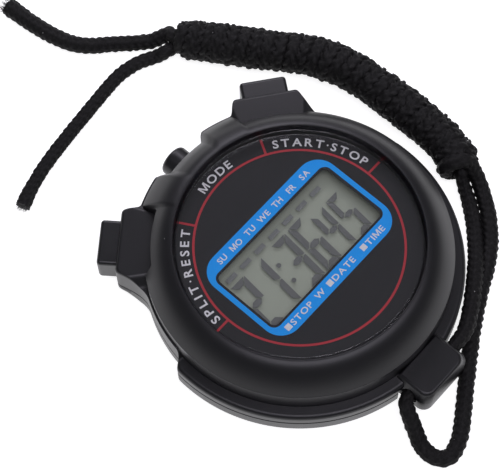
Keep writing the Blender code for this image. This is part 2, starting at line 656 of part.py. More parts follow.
def smooth_route(route, step, height=None):
    """Even points on the smooth curve through a route."""
    points = [Vector(p if len(p) == 3 else (*p, height)) for p in route]
    ends = [2 * points[0] - points[1], *points, 2 * points[-1] - points[-2]]
    fine = []
    for p0, p1, p2, p3 in zip(ends, ends[1:], ends[2:], ends[3:]):
        for i in range(24):
            t = i / 24
            fine.append(0.5 * (2 * p1 + (p2 - p0) * t + (2 * p0 - 5 * p1 + 4 * p2 - p3) * t**2
                               + (3 * p1 - p0 - 3 * p2 + p3) * t**3))
    fine.append(points[-1])
    total = sum((b - a).length for a, b in zip(fine, fine[1:]))
    count = max(2, round(total / step))
    spaced, walked, target = [fine[0]], 0.0, total / count
    for a, b in zip(fine, fine[1:]):
        walked += (b - a).length
        while walked >= target and len(spaced) < count:
            spaced.append(b + (a - b) * ((walked - target) / (b - a).length))
            target += total / count
    return spaced + [fine[-1]]


def tube(name, points, radius, material, roundness=2):
    curve = bpy.data.curves.new(name, "CURVE")
    curve.dimensions = "3D"
    curve.bevel_depth = radius
    curve.bevel_resolution = roundness
    curve.use_fill_caps = True
    curve.materials.append(material)
    spline = curve.splines.new("POLY")
    spline.points.add(len(points) - 1)
    for knot, point in zip(spline.points, points):
        knot.co = (*point, 1)
    obj = bpy.data.objects.new(name, curve)
    bpy.context.scene.collection.objects.link(obj)
    return obj


def make_lanyard(finishes):
    cord = finishes["cord"]
    radius = CORD_D / 2
    tube("lanyard_loop", smooth_route(LOOP_ROUTE, LOOP_STEP), radius, cord)
    tube("lanyard_grip", smooth_route(GRIP_ROUTE, GRIP_STEP, GRIP_REST), GRIP_R, cord, 4)
    tube("lanyard_upper_tail", smooth_route(UPPER_TAIL, TAIL_STEP), radius, cord)
    tube("lanyard_lower_tail", smooth_route(LOWER_TAIL, TAIL_STEP), radius, cord)


def main():
    clear_scene()
    finishes = make_finishes()
    cuts = apertures()
    make_front_case(finishes, cuts)
    make_rear_case(finishes, cuts)
    make_dial(finishes)
    make_display(finishes)
    make_board(finishes)
    make_battery(finishes)
    make_screws(finishes)
    make_sounder(finishes)
    make_buttons(finishes)
    make_contacts(finishes)
    make_lanyard(finishes)


main()
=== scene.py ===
"""The looks of a digital stopwatch: its moulded case, printed dial, display, buttons and braided lanyard.

Everything is in metres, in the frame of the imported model: +Z out of the dial, +Y to 12 o'clock.
A clock angle is in degrees clockwise from 12 o'clock, seen from the front.
"""

import math

import bmesh
import bpy
import numpy as np
from mathutils import Matrix, Vector


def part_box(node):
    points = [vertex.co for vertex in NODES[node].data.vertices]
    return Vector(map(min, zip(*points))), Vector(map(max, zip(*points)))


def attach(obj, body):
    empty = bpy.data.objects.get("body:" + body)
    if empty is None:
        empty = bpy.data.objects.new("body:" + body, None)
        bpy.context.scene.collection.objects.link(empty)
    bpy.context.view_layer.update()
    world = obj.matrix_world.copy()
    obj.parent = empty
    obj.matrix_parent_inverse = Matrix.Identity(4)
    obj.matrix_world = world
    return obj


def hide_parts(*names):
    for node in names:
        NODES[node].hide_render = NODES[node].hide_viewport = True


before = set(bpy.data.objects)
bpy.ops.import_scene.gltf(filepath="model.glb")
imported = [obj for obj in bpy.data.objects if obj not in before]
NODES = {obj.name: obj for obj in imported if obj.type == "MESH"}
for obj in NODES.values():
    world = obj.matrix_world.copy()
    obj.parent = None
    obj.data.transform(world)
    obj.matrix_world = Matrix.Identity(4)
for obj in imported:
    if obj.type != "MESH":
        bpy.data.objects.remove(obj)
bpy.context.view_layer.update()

MM = 0.001

# ---- sizes taken from the frame

FILM_LOW, FILM_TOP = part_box("dial_film")[0].z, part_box("dial_film")[1].z
FILM_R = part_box("dial_film")[1].x
LENS_LOW, LENS_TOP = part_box("lens")[0].z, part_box("lens")[1].z
PANEL_LOW, PANEL_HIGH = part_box("lcd_panel")
BUTTON_END = 38.45 * MM

CASE_R, WAIST_R, CAVITY_R = 32.0 * MM, 29.9 * MM, 27.0 * MM
CLEAR = 0.3 * MM
BEZEL_R, BEZEL_Z = 23.8 * MM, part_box("front_case")[1].z
DRUM_R, DRUM_Z = 29.4 * MM, 12.1 * MM
SHOULDER_R, SHOULDER_Z = 31.4 * MM, 11.2 * MM
BEZEL_CROWN = 1.8
BAND_Z, HOUSING_Z, HOUSING_LOW, HOUSING_END = 7.1 * MM, 11.0 * MM, 2.0 * MM, 34.6 * MM
PARTING_Z, PARTING_EDGE, FLOOR_Z = 4.5 * MM, 0.12 * MM, 2.0 * MM
PLATE_LOW, PLATE_TOP = 12.7 * MM, 13.4 * MM
WINDOW = (33.0 * MM, 16.6 * MM)
BUTTON_ANGLE = 37.7
BUTTON_SIZE, BUTTON_Z = (9.4 * MM, 6.5 * MM), 6.75 * MM
BUTTON_BACK = 27.6 * MM
MODE_R, MODE_Z, MODE_END = 3.15 * MM, 5.8 * MM, 33.5 * MM
LUG_HALF, LUG_TOP_HALF = 6.4 * MM, 5.4 * MM
LUG_END, LUG_ROOT = -37.1 * MM, -29.3 * MM
LUG_LOW, LUG_TOP = 2.3 * MM, 8.0 * MM
HOLE_Y, HOLE_Z, HOLE_R = -33.0 * MM, 5.0 * MM, 1.75 * MM
BOSS_RADIUS, BOSS_ANGLES, BOSS_R = 24.2 * MM, (70, 150, -150, -70), 2.3 * MM

CORD_REST = 1.45 * MM
GRIP_REST = 4.35 * MM
CORD_R = 1.4 * MM
CARRIERS = 8  # strands that run each way round the braid
LAY = 12.0 * MM  # length of one turn of a strand
ROUND = 32  # points round the braid
STEP = LAY / ROUND
RELIEF = 0.36 * MM  # how far the braid's floats stand over its hollows
WIND_R, WINDING_TURNS = 3.0 * MM, 27  # the strand that is wound round the other


def route(rest, *points):
    """Points given in millimetres. One without a height has its centre at rest."""
    return [(p[0] * MM, p[1] * MM, p[2] * MM if len(p) == 3 else rest) for p in points]


GRIP_ROUTE = route(
    GRIP_REST,
    (21.3, 52), (23.8, 47.9), (28, 41.4), (32.2, 34.9), (36.4, 28.4), (38.7, 22), (39.6, 15), (39.8, 6),
    (39.5, -2.3), (38.4, -7.2), (36.8, -10.6),
)
LOOP_ROUTE = route(
    CORD_REST,
    (35.7, -11.7, 3.3), (34.4, -14, 2), (32.4, -16.9, 1.5), (29.4, -20.2, 1.7), (26, -23.2, 2.4),
    (23.2, -25.3, 3.2), (18.1, -28.7, 4), (13.7, -31.3, 4.4), (10.4, -32.7, 4.8), (7.8, -33, 5),
    (4, -33, 5), (-4, -33, 5), (-6.6, -33, 5), (-7.9, -33.5, 4.9), (-8.8, -34.8, 4.4), (-9.5, -36.4, 3.4),
    (-10.4, -38.3, 2.3), (-11.3, -40.2, 1.6), (-11.7, -42.6), (-11, -44.7), (-9.2, -45.8), (-5.8, -45),
    (-2, -42.8), (2.6, -39.7), (7.2, -36.7), (11.8, -33.8), (16, -31.4), (20.3, -29.1), (25.2, -26.8),
    (29.8, -23.9), (34, -19.9), (36.9, -15.9, 2.1), (38.7, -12.4, 3.6),
)
THROUGH_HOLE = 10  # the two sides of the loop part between this point and the next
UPPER_TAIL = route(
    CORD_REST,
    (21.3, 53.9, 3.6), (19.6, 55.4, 2.3), (17.5, 57), (14.8, 59.5), (12.1, 62.2), (9.3, 64.8), (7.1, 68),
    (5.8, 72), (5.1, 76), (4.7, 80), (4.5, 84.1),
)
LOWER_TAIL = route(
    CORD_REST,
    (18.3, 51.5, 3.4), (17.2, 52.5, 2.2), (15.7, 53.5), (12.5, 55.1), (8, 55.9), (3.6, 55.6), (-1.6, 55),
    (-6.8, 54.4), (-11.9, 53.7), (-17, 52.8), (-21.5, 51.6), (-26, 49.9),
)


# ---- materials


def operator(operation, reflected=False):
    """A Wire's method for one operator, or for its reflected form."""
    def add_node(self, other):
        return self.maths(operation, *((other, self) if reflected else (self, other)))
    return add_node


class Wire:
    """A socket of a material, which shader maths is written with."""

    def __init__(self, finish, socket):
        self.finish, self.socket = finish, socket

    def maths(self, operation, *values):
        return self.finish.node("Math", {"operation": operation}, dict(enumerate(values)))

    def apply(self, operation):
        return self.maths(operation, self)

    __add__ = __radd__ = operator("ADD")
    __mul__ = __rmul__ = operator("MULTIPLY")
    __sub__, __rsub__ = operator("SUBTRACT"), operator("SUBTRACT", True)
    __truediv__, __mod__ = operator("DIVIDE"), operator("FLOORED_MODULO")
    __pow__, __lt__ = operator("POWER"), operator("LESS_THAN")


class Finish:
    """A material made of nodes round one Principled shader."""

    def __init__(self, name, colour, roughness, metallic=0.0, specular=0.5, sheen=0.0):
        self.material = bpy.data.materials.new(name)
        self.material.use_nodes = True
        self.material.diffuse_color = (*colour, 1)
        self.tree = self.material.node_tree
        self.shader = self.tree.nodes["Principled BSDF"]
        for socket, value in {"Base Color": (*colour, 1), "Roughness": roughness, "Metallic": metallic,
                              "Specular IOR Level": specular, "Sheen Weight": sheen}.items():
            self.shader.inputs[socket].default_value = value

    def node(self, kind, settings, sockets, output=0):
        """Adds a node: its settings are set first, then its sockets are given values or links."""
        node = self.tree.nodes.new("ShaderNode" + kind)
        for name, value in settings.items():
            setattr(node, name, value)
        for key, value in sockets.items():
            if isinstance(value, Wire):
                self.tree.links.new(value.socket, node.inputs[key])
            else:
                node.inputs[key].default_value = value
        return Wire(self, node.outputs[output])

    def set(self, **links):
        """Links wires to the shader: base_color=, roughness=, normal= and so on."""
        for name, wire in links.items():
            self.tree.links.new(wire.socket, self.shader.inputs[name.replace("_", " ").title()])
        return self.material

    def places(self):
        return self.node("TexCoord", {}, {}, "Object")

    def split(self, vector):
        """The x and the y of a vector."""
        node = self.node("SeparateXYZ", {}, {0: vector}).socket.node
        return Wire(self, node.outputs[0]), Wire(self, node.outputs[1])

    def noise(self, scale, detail=3.0, roughness=0.5):
        return self.node("TexNoise", {}, {"Vector": self.places(), "Scale": scale, "Detail": detail,
                                          "Roughness": roughness})

    def mix(self, share, one, other):
        """The colour between two, by a share that varies over the surface."""
        return self.node("Mix", {"data_type": "RGBA"}, {0: share, 6: one, 7: other}, 2)

    def between(self, wire, low, high):
        """A wire from 0 to 1, turned into a value from low to high."""
        return wire * (high - low) + low

    def bump(self, height, distance, strength=1.0):
        return self.node("Bump", {}, {"Height": height, "Distance": distance, "Strength": strength})

    def specks(self, scale, share, size):
        """1 on a few small round specks, 0 elsewhere."""
        sockets = {"Vector": self.places(), "Scale": scale}
        near = self.node("TexVoronoi", {}, sockets, "Distance")
        tint = self.node("TexVoronoi", {}, sockets, "Color")
        return (near < size) * (self.node("SeparateColor", {}, {"Color": tint}) < share)


def grey(value, tint=(1, 1, 1)):
    return tuple(value * t for t in tint) + (1,)


def grained(name, colour, roughness, grain, tones, gloss=None, relief=None, **constants):
    """A finish whose tone, gloss and relief follow one noise, of a scale and a detail."""
    finish = Finish(name, colour, roughness, **constants)
    noise = finish.noise(*grain)
    links = {"base_color": finish.mix(noise, *tones)}
    if gloss:
        links["roughness"] = finish.between(noise, *gloss)
    if relief:
        links["normal"] = finish.bump(noise, *relief)
    return finish.set(**links)


def case_plastic():
    """Satin black ABS, spark-eroded to a fine grain, with faint scuffs and a little dust."""
    finish = Finish("case_plastic", (0.0056, 0.0053, 0.0068), 0.38, specular=0.44)
    grain, scuffs = finish.noise(5200, 2.0), finish.noise(160, 5.0, 0.7)
    tone = finish.mix(scuffs, *(grey(value, (1, 0.95, 1.22)) for value in (0.0048, 0.0066)))
    colour = finish.mix(finish.specks(420, 0.012, 0.055), tone, grey(0.45))
    rough = finish.between(scuffs, 0.32, 0.42) + finish.between(grain, -0.02, 0.02)
    return finish.set(base_color=colour, roughness=rough, normal=finish.bump(grain, 0.010 * MM, 0.55))


def button_plastic():
    finish = Finish("button_plastic", (0.0085, 0.0083, 0.0098), 0.32)
    wear = finish.noise(300, 4.0)
    colour = finish.mix(wear, *(grey(value, (1, 0.96, 1.20)) for value in (0.0048, 0.0064)))
    return finish.set(base_color=colour, roughness=finish.between(wear, 0.27, 0.38),
                      normal=finish.bump(finish.noise(6000, 2.0), 0.006 * MM, 0.5))


def dial_print():
    """The black ground of the printed film."""
    finish = Finish("dial_print", (0.020, 0.019, 0.022), 0.45, specular=0.15)
    cloud = finish.noise(60, 2.0)
    colour = finish.mix(cloud, *(grey(value, (1, 0.97, 1.12)) for value in (0.0150, 0.0180)))
    colour = finish.mix(finish.specks(300, 0.010, 0.05), colour, grey(0.16))
    return finish.set(base_color=colour, roughness=finish.between(cloud, 0.42, 0.50),
                      normal=finish.bump(finish.noise(3800, 2.0), 0.0010 * MM, 0.12))


def printed_ink(name, colour, spread):
    """Screen-printed ink, thinner in places."""
    dark = grey(1 - spread, colour)
    return grained(name, colour, 0.45, (2600, 3.0), (dark, (*colour, 1)), (0.40, 0.52), (0.003 * MM, 0.5),
                   specular=0.2)


def clear_pane(name, tint):
    """Clear acrylic or glass: it lets light straight through and mirrors at a shallow angle."""
    finish = Finish(name, tint, 0.03)
    clear = finish.node("BsdfTransparent", {}, {"Color": (*tint, 1)})
    gloss = finish.node("BsdfGlossy", {}, {"Roughness": finish.between(finish.noise(90), 0.02, 0.05)})
    facing = finish.node("LayerWeight", {}, {"Blend": 0.5}, "Facing")
    pane = finish.node("MixShader", {}, {0: finish.between(facing ** 5, 0.04, 1.0), 1: clear, 2: gloss})
    finish.tree.links.new(pane.socket, finish.tree.nodes["Material Output"].inputs["Surface"])
    finish.tree.nodes.remove(finish.shader)
    return finish.material


def polariser_film():
    """The grey-green ground of the display."""
    tones = (0.455, 0.4825, 0.3975, 1), (0.475, 0.5025, 0.4175, 1)
    return grained("polariser_film", (0.40, 0.42, 0.35), 0.30, (2500, 2.0), tones, (0.28, 0.38))


def liquid_crystal(name, level):
    tones = grey(level * 0.94), grey(level * 1.06, (0.98, 1, 1.02))
    return grained(name, (level,) * 3, 0.35, (1800, 2.0), tones)


def braided_cord():
    """Black nylon yarn. The cord's own map runs round it in x and along it, in lays, in y."""
    finish = Finish("braided_cord", (0.006, 0.006, 0.007), 0.62, specular=0.16)
    turn, along = finish.split(finish.node("UVMap", {"uv_map": "braid"}, {}))
    left, right = (turn + along) * CARRIERS, (turn - along) * CARRIERS
    right_under = (left.apply("FLOOR") + right.apply("FLOOR")) % 4 < 1.5
    across = right_under * (left % 1) + (1 - right_under) * (right % 1)
    filaments = (across * (5 * math.tau)).apply("SINE") * 0.5 + 0.5
    edge = (1 - (across * 2 - 1).apply("ABSOLUTE") ** 2) ** 2.2
    fuzz = finish.noise(2600, 3.0)
    colour = finish.mix(fuzz * 0.5, grey(0.0007), grey(0.040, (1.0, 0.96, 0.97)))
    # Painted highlights: a few small pale specks in the base colour stand in for the yarn's tiny specular
    # glints.
    colour = finish.mix(finish.specks(900, 0.010, 0.10), colour, grey(0.55))
    height = filaments * 0.5 * edge + fuzz * 0.6
    return finish.set(base_color=colour, roughness=finish.between(finish.noise(1500, 2.0), 0.38, 0.80),
                      normal=finish.bump(height, 0.06 * MM, 0.8))


def loose_fibre():
    return grained("loose_fibre", (0.03, 0.03, 0.032), 0.5, (900, 1.0), (grey(0.012), grey(0.075)), sheen=0.3)


def plated_steel():
    tones = grey(0.52), grey(0.68)
    return grained("plated_steel", (0.62, 0.62, 0.62), 0.28, (1500, 4.0), tones, (0.20, 0.38), (0.004 * MM, 0.5),
                   metallic=1.0)


def rolled_brass():
    tones = (0.55, 0.38, 0.16, 1), (0.78, 0.58, 0.28, 1)
    return grained("rolled_brass", (0.72, 0.53, 0.24), 0.30, (400, 4.0), tones, (0.22, 0.42), metallic=1.0)


def board_laminate():
    """Green solder mask over faint copper tracks."""
    finish = Finish("board_laminate", (0.05, 0.20, 0.08), 0.40)
    tracks = finish.node("TexBrick", {"offset": 0.5}, {
        "Vector": finish.places(), "Scale": 400.0, "Mortar Size": 0.03, "Color1": grey(0.0),
        "Color2": grey(0.2), "Mortar": grey(1.0)}, "Fac")
    colour = finish.mix(tracks, (0.035, 0.16, 0.06, 1), (0.07, 0.27, 0.10, 1))
    return finish.set(base_color=colour, roughness=finish.between(finish.noise(700), 0.3, 0.5),
                      normal=finish.bump(tracks, 0.02 * MM))


def zebra_rubber():
    """Conducting and insulating layers, side by side along the strip."""
    finish = Finish("zebra_rubber", (0.10, 0.10, 0.11), 0.70)
    bands = finish.node("TexWave", {"bands_direction": "X"}, {"Vector": finish.places(), "Scale": 900.0})
    return finish.set(base_color=finish.mix(bands, grey(0.03), grey(0.30)),
                      roughness=finish.between(bands, 0.6, 0.8))


def moulded(name, colour, roughness):
    """A plain moulded or cast finish with a fine grain."""
    tones = grey(0.92, colour), grey(1.08, colour)
    return grained(name, colour, roughness, (2500, 3.0), tones, (roughness - 0.05, roughness + 0.05),
                   (0.004 * MM, 0.4))


# ---- mesh helpers


def placed(name, data):
    """A new object in the scene."""
    obj = bpy.data.objects.new(name, data)
    bpy.context.scene.collection.objects.link(obj)
    return obj


def plain(name, mesh_data):
    """Makes an object of a bmesh."""
    mesh = bpy.data.meshes.new(name)
    mesh_data.to_mesh(mesh)
    mesh_data.free()
    return placed(name, mesh)


def piece(name, mesh_data, material, nodes=()):
    """A finished piece of the case's body, of a bmesh."""
    return dress(plain(name, mesh_data), material, "case", nodes)


def dress(obj, material, body, nodes=(), soft_angle=30, flat_faces=True):
    """Gives a piece its material, its shading and its body, and hides the CAD nodes it stands for."""
    mesh = obj.data
    mesh.materials.clear()
    mesh.materials.append(material)
    mesh.shade_smooth()
    mesh.set_sharp_from_angle(angle=math.radians(soft_angle))
    if flat_faces:
        obj.modifiers.new("even_shading", "WEIGHTED_NORMAL").keep_sharp = True
        applied(obj)
    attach(obj, body)
    if nodes:
        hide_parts(*nodes)
    return obj


def evaluated(obj):
    """The mesh of an object with its modifiers applied."""
    bpy.context.view_layer.update()
    return bpy.data.meshes.new_from_object(obj.evaluated_get(bpy.context.evaluated_depsgraph_get()))


def applied(obj):
    """Turns an object with modifiers into its plain evaluated mesh."""
    mesh = evaluated(obj)
    obj.modifiers.clear()
    old, obj.data = obj.data, mesh
    bpy.data.meshes.remove(old)


def cut_and_join(obj, joins=(), cuts=()):
    """Boolean unions and differences, applied at once. The helpers are removed."""
    for operation, others in (("UNION", joins), ("DIFFERENCE", cuts)):
        for other in others:
            modifier = obj.modifiers.new(other.name, "BOOLEAN")
            modifier.operation, modifier.solver, modifier.object = operation, "EXACT", other
    applied(obj)
    for other in (*joins, *cuts):
        bpy.data.objects.remove(other)
    return obj


def helper(name, mesh_data):
    """An object that only takes part in making another."""
    bmesh.ops.recalc_face_normals(mesh_data, faces=mesh_data.faces)
    return plain(name, mesh_data)


def bridge(mesh, rings, closed=False):
    """Joins rings of points with faces. A ring of one point is a pole."""
    pairs = list(zip(rings, rings[1:])) + ([(rings[-1], rings[0])] if closed else [])
    for one, other in pairs:
        count = max(len(one), len(other))
        for i in range(count):
            j = (i + 1) % count
            corners = [one[i % len(one)], one[j % len(one)], other[j % len(other)], other[i % len(other)]]
            mesh.faces.new(list(dict.fromkeys(corners)))


def prism(outline, low, high, bevel=0.0, segments=3):
    """An outline in plan, raised from one height to another."""
    mesh = bmesh.new()
    base, top = ([mesh.verts.new((x, y, z)) for x, y in outline] for z in (low, high))
    mesh.faces.new(base)
    mesh.faces.new(top)
    bridge(mesh, [base, top])
    bmesh.ops.recalc_face_normals(mesh, faces=mesh.faces)
    if bevel:
        bmesh.ops.bevel(mesh, geom=mesh.edges, offset=bevel, segments=segments, profile=0.5, affect="EDGES")
    return mesh


def arc(centre, radius, start, end, steps):
    """Points of an arc, between two angles in degrees."""
    turns = [math.radians(start + (end - start) * i / steps) for i in range(steps + 1)]
    return [(centre[0] + radius * math.cos(t), centre[1] + radius * math.sin(t)) for t in turns]


def circle(radius, steps=48, centre=(0, 0)):
    return arc(centre, radius, 0, 360, steps)[:-1]


def rectangle(width, height, corner=0.0, steps=8, centre=(0, 0)):
    points = []
    for quarter, (sx, sy) in enumerate(((1, 1), (-1, 1), (-1, -1), (1, -1))):
        middle = (centre[0] + sx * (width / 2 - corner), centre[1] + sy * (height / 2 - corner))
        points += arc(middle, corner, 90 * quarter, 90 * quarter + 90, steps) if corner else [middle]
    return points


def turned(profile, steps=96):
    """A solid of revolution about Z, from (radius, height) points between its poles."""
    mesh = bmesh.new()
    bridge(mesh, [[mesh.verts.new((x, y, height)) for x, y in (circle(radius, steps) if radius else [(0, 0)])]
                  for radius, height in profile])
    bmesh.ops.recalc_face_normals(mesh, faces=mesh.faces)
    return mesh


def along_y(mesh, height):
    """Turns a solid made about +Z so that it lies along +Y at a height."""
    mesh.transform(Matrix.Translation((0, 0, height)) @ Matrix.Rotation(-math.pi / 2, 4, "X"))
    return mesh


def clock_turn(angle):
    return Matrix.Rotation(-math.radians(angle), 4, "Z")


def clock(angle, radius, height=0.0):
    """The point at a clock angle."""
    turn = math.radians(angle)
    return (radius * math.sin(turn), radius * math.cos(turn), height)


class Repeat:
    """A Geometry Nodes tree that repeats one small piece. Its inputs are named, and it ends in Realize
    Instances and Set Material."""

    def __init__(self, name, inputs):
        self.tree = bpy.data.node_groups.new(name, "GeometryNodeTree")
        for label, kind in {"Geometry": "Geometry", "Copy": "Object", **inputs, "Material": "Material"}.items():
            self.tree.interface.new_socket(name=label, in_out="INPUT", socket_type="NodeSocket" + kind)
        self.tree.interface.new_socket(name="Geometry", in_out="OUTPUT", socket_type="NodeSocketGeometry")
        self.inputs = self.tree.nodes.new("NodeGroupInput")

    def node(self, kind, settings=(), **sockets):
        """Adds a node. A socket is given a value, a link, or the name of one of the tree's inputs."""
        node = self.tree.nodes.new(kind)
        for name, value in dict(settings).items():
            setattr(node, name, value)
        for label, value in sockets.items():
            label = label.replace("_", " ")
            socket = next(s for s in node.inputs if s.name == label and s.enabled)
            if isinstance(value, str):
                value = self.inputs.outputs[value]
            if isinstance(value, bpy.types.NodeSocket):
                self.tree.links.new(value, socket)
            else:
                socket.default_value = value
        return next(s for s in node.outputs if s.enabled)

    def finish(self, points, **placing):
        """Puts a copy on each point, and ends the tree."""
        shape = self.node("GeometryNodeObjectInfo", Object="Copy").node.outputs["Geometry"]
        copies = self.node("GeometryNodeInstanceOnPoints", Points=points, Instance=shape, **placing)
        real = self.node("GeometryNodeRealizeInstances", Geometry=copies)
        coloured = self.node("GeometryNodeSetMaterial", Geometry=real, Material="Material")
        self.tree.links.new(coloured, self.tree.nodes.new("NodeGroupOutput").inputs[0])
        return self

    def made(self, values):
        """The repeated pieces as one plain mesh."""
        holder = helper("holder", bmesh.new())
        modifier = holder.modifiers.new("repeat", "NODES")
        modifier.node_group = self.tree
        for item in self.tree.interface.items_tree:
            if item.in_out == "INPUT" and item.name in values:
                modifier[item.identifier] = values[item.name]
        mesh = evaluated(holder)
        bpy.data.objects.remove(holder)
        bpy.data.objects.remove(values["Copy"])
        return mesh


def row_of_copies():
    """Copies in a straight row."""
    tree = Repeat("row_of_copies", {"Count": "Int", "Start": "Vector", "Step": "Vector"})
    return tree.finish(tree.node("GeometryNodeMeshLine", {"mode": "OFFSET"}, Count="Count",
                                 Start_Location="Start", Offset="Step"))


def tuft_of_copies():
    """Copies scattered over a disc, each leaning and as long as chance has it."""
    tree = Repeat("tuft_of_copies", {"Radius": "Float", "Density": "Float", "Lean": "Vector",
                                     "Other Lean": "Vector", "Shortest": "Float", "Seed": "Int"})
    disc = tree.node("GeometryNodeMeshCircle", {"fill_type": "NGON"}, Radius="Radius")
    roots = tree.node("GeometryNodeDistributePointsOnFaces", Mesh=disc, Density="Density", Seed="Seed")
    lean = tree.node("FunctionNodeRandomValue", {"data_type": "FLOAT_VECTOR"}, Min="Lean", Max="Other Lean",
                     Seed="Seed")
    size = tree.node("FunctionNodeRandomValue", {"data_type": "FLOAT"}, Min="Shortest", Max=1.0, Seed="Seed")
    return tree.finish(roots, Rotation=lean, Scale=size)


def merged(*meshes):
    """The first mesh with the others added to it."""
    whole = meshes[0]
    for other in meshes[1:]:
        data = bpy.data.meshes.new("merge")
        other.to_mesh(data)
        other.free()
        whole.from_mesh(data)
        bpy.data.meshes.remove(data)
    return whole


# ---- camera, floor and light


def make_camera():
    """Looks down on the dial from the lower left, a little tilted."""
    azimuth, elevation, roll = (math.radians(d) for d in (-46.82, 66.53, -1.46))
    target, distance = Vector((-0.00452, 0.00846, 0.0140)), 0.3356
    back = Vector((math.sin(azimuth) * math.cos(elevation), -math.cos(azimuth) * math.cos(elevation),
                   math.sin(elevation)))
    right = Vector((math.cos(azimuth), math.sin(azimuth), 0))
    up = back.cross(right)
    across = math.cos(roll) * right + math.sin(roll) * up
    above = -math.sin(roll) * right + math.cos(roll) * up
    data = bpy.data.cameras.new("camera")
    data.lens, data.sensor_width = 127.9, 36
    data.clip_start, data.clip_end = 0.01, 10
    camera = placed("camera", data)
    camera.matrix_world = Matrix((across, above, back)).transposed().to_4x4()
    camera.matrix_world.translation = target + back * distance
    bpy.context.scene.camera = camera


FLOOR_GLOW = 0.85  # the floor is a lit white table


def make_floor():
    mesh = bmesh.new()
    bmesh.ops.create_grid(mesh, x_segments=1, y_segments=1, size=1.5)
    mesh.transform(Matrix.Translation((0, 0, -0.02 * MM)))
    floor = helper("floor", mesh)
    finish = Finish("pale_floor", (0.6, 0.6, 0.6), 0.9)
    finish.set(base_color=finish.mix(finish.noise(30), grey(0.58), grey(0.62)))
    finish.shader.inputs["Emission Color"].default_value = (1, 1, 1, 1)
    finish.shader.inputs["Emission Strength"].default_value = FLOOR_GLOW
    floor.data.materials.append(finish.material)


def soft_light(name, azimuth, elevation, distance, size, radiance):
    """A soft box that faces the stopwatch from a direction in degrees."""
    turn, rise = math.radians(azimuth), math.radians(elevation)
    aim = Vector((math.cos(turn) * math.cos(rise), math.sin(turn) * math.cos(rise), math.sin(rise)))
    data = bpy.data.lights.new(name, "AREA")
    data.shape, data.size, data.size_y = "RECTANGLE", *size
    data.color = (1.0, 0.955, 1.09)
    data.energy = radiance * math.pi * size[0] * size[1]
    light = placed(name, data)
    light.location = aim * distance
    light.rotation_mode = "QUATERNION"
    light.rotation_quaternion = aim.to_track_quat("Z", "Y")


def make_lights():
    world = bpy.data.worlds.new("studio")
    world.use_nodes = True
    background = world.node_tree.nodes["Background"]
    background.inputs["Color"].default_value = (0.93, 0.95, 1, 1)
    background.inputs["Strength"].default_value = 0.20
    bpy.context.scene.world = world
    soft_light("overhead", -137, 75, 0.80, (0.50, 0.40), 2.7)
    soft_light("right", -60, 65, 0.80, (0.40, 0.40), 1.7)
    soft_light("back", 55, 38, 0.80, (0.50, 0.30), 2.2)
    soft_light("horizon", 43, 20, 0.80, (0.80, 0.30), 0.5)
    soft_light("near", 43, 45, 0.20, (0.13, 0.06), 2.0)
    bpy.context.scene.view_settings.view_transform = "Standard"


# ---- lanyard


def smooth_route(route, step):
    """Even points on the smooth curve through a route, as an array."""
    points = [Vector(p) for p in route]
    ends = [2 * points[0] - points[1], *points, 2 * points[-1] - points[-2]]
    fine, pieces = [], 24
    for p0, p1, p2, p3 in zip(ends, ends[1:], ends[2:], ends[3:]):
        for i in range(pieces):
            t = i / pieces
            fine.append(0.5 * (2 * p1 + (p2 - p0) * t + (2 * p0 - 5 * p1 + 4 * p2 - p3) * t**2
                               + (3 * p1 - p0 - 3 * p2 + p3) * t**3))
    fine.append(points[-1])
    return spaced(np.array(fine), step)


def read_at(places, known, values):
    """Each column of values, which belong to known places, read at other places."""
    return np.stack([np.interp(places, known, column) for column in values.T], axis=1)


def spaced(line, step):
    """The line again, with its points a step apart."""
    along = np.concatenate([[0], np.cumsum(np.linalg.norm(np.diff(line, axis=0), axis=1))])
    return read_at(np.linspace(0, along[-1], max(2, round(along[-1] / step) + 1)), along, line)


def unit(vectors):
    return vectors / np.linalg.norm(vectors, axis=-1, keepdims=True)


def frames_along(line):
    """The direction at each point of a line, and two directions across it that don't twist."""
    ahead = unit(np.gradient(line, axis=0))
    side = np.zeros_like(line)
    start = np.cross(ahead[0], (0, 0, 1))
    side[0] = start / np.linalg.norm(start)
    for i in range(1, len(line)):
        moved = side[i - 1] - ahead[i] * (side[i - 1] @ ahead[i])
        side[i] = moved / np.linalg.norm(moved)
    return ahead, side, np.cross(ahead, side)


def braid_height(turn, along):
    """Height of a two-over, two-under braid, from 0 in its hollows to 1 on its floats."""
    left, right = (turn + along) * CARRIERS, (turn - along) * CARRIERS
    step = (np.floor(left + 1e-6) + np.floor(right + 1e-6)) % 4
    f_left, f_right = (left + 1e-6) % 1, (right + 1e-6) % 1
    left_over = step < 1.5
    across = np.where(left_over, f_left, f_right)
    reach = np.where(left_over, (step + f_right) / 2, (step - 2 + f_left) / 2)
    return np.sqrt(np.clip(np.sin(np.pi * across), 0, 1)) * np.clip(np.sin(np.pi * reach), 0, 1) ** 0.6


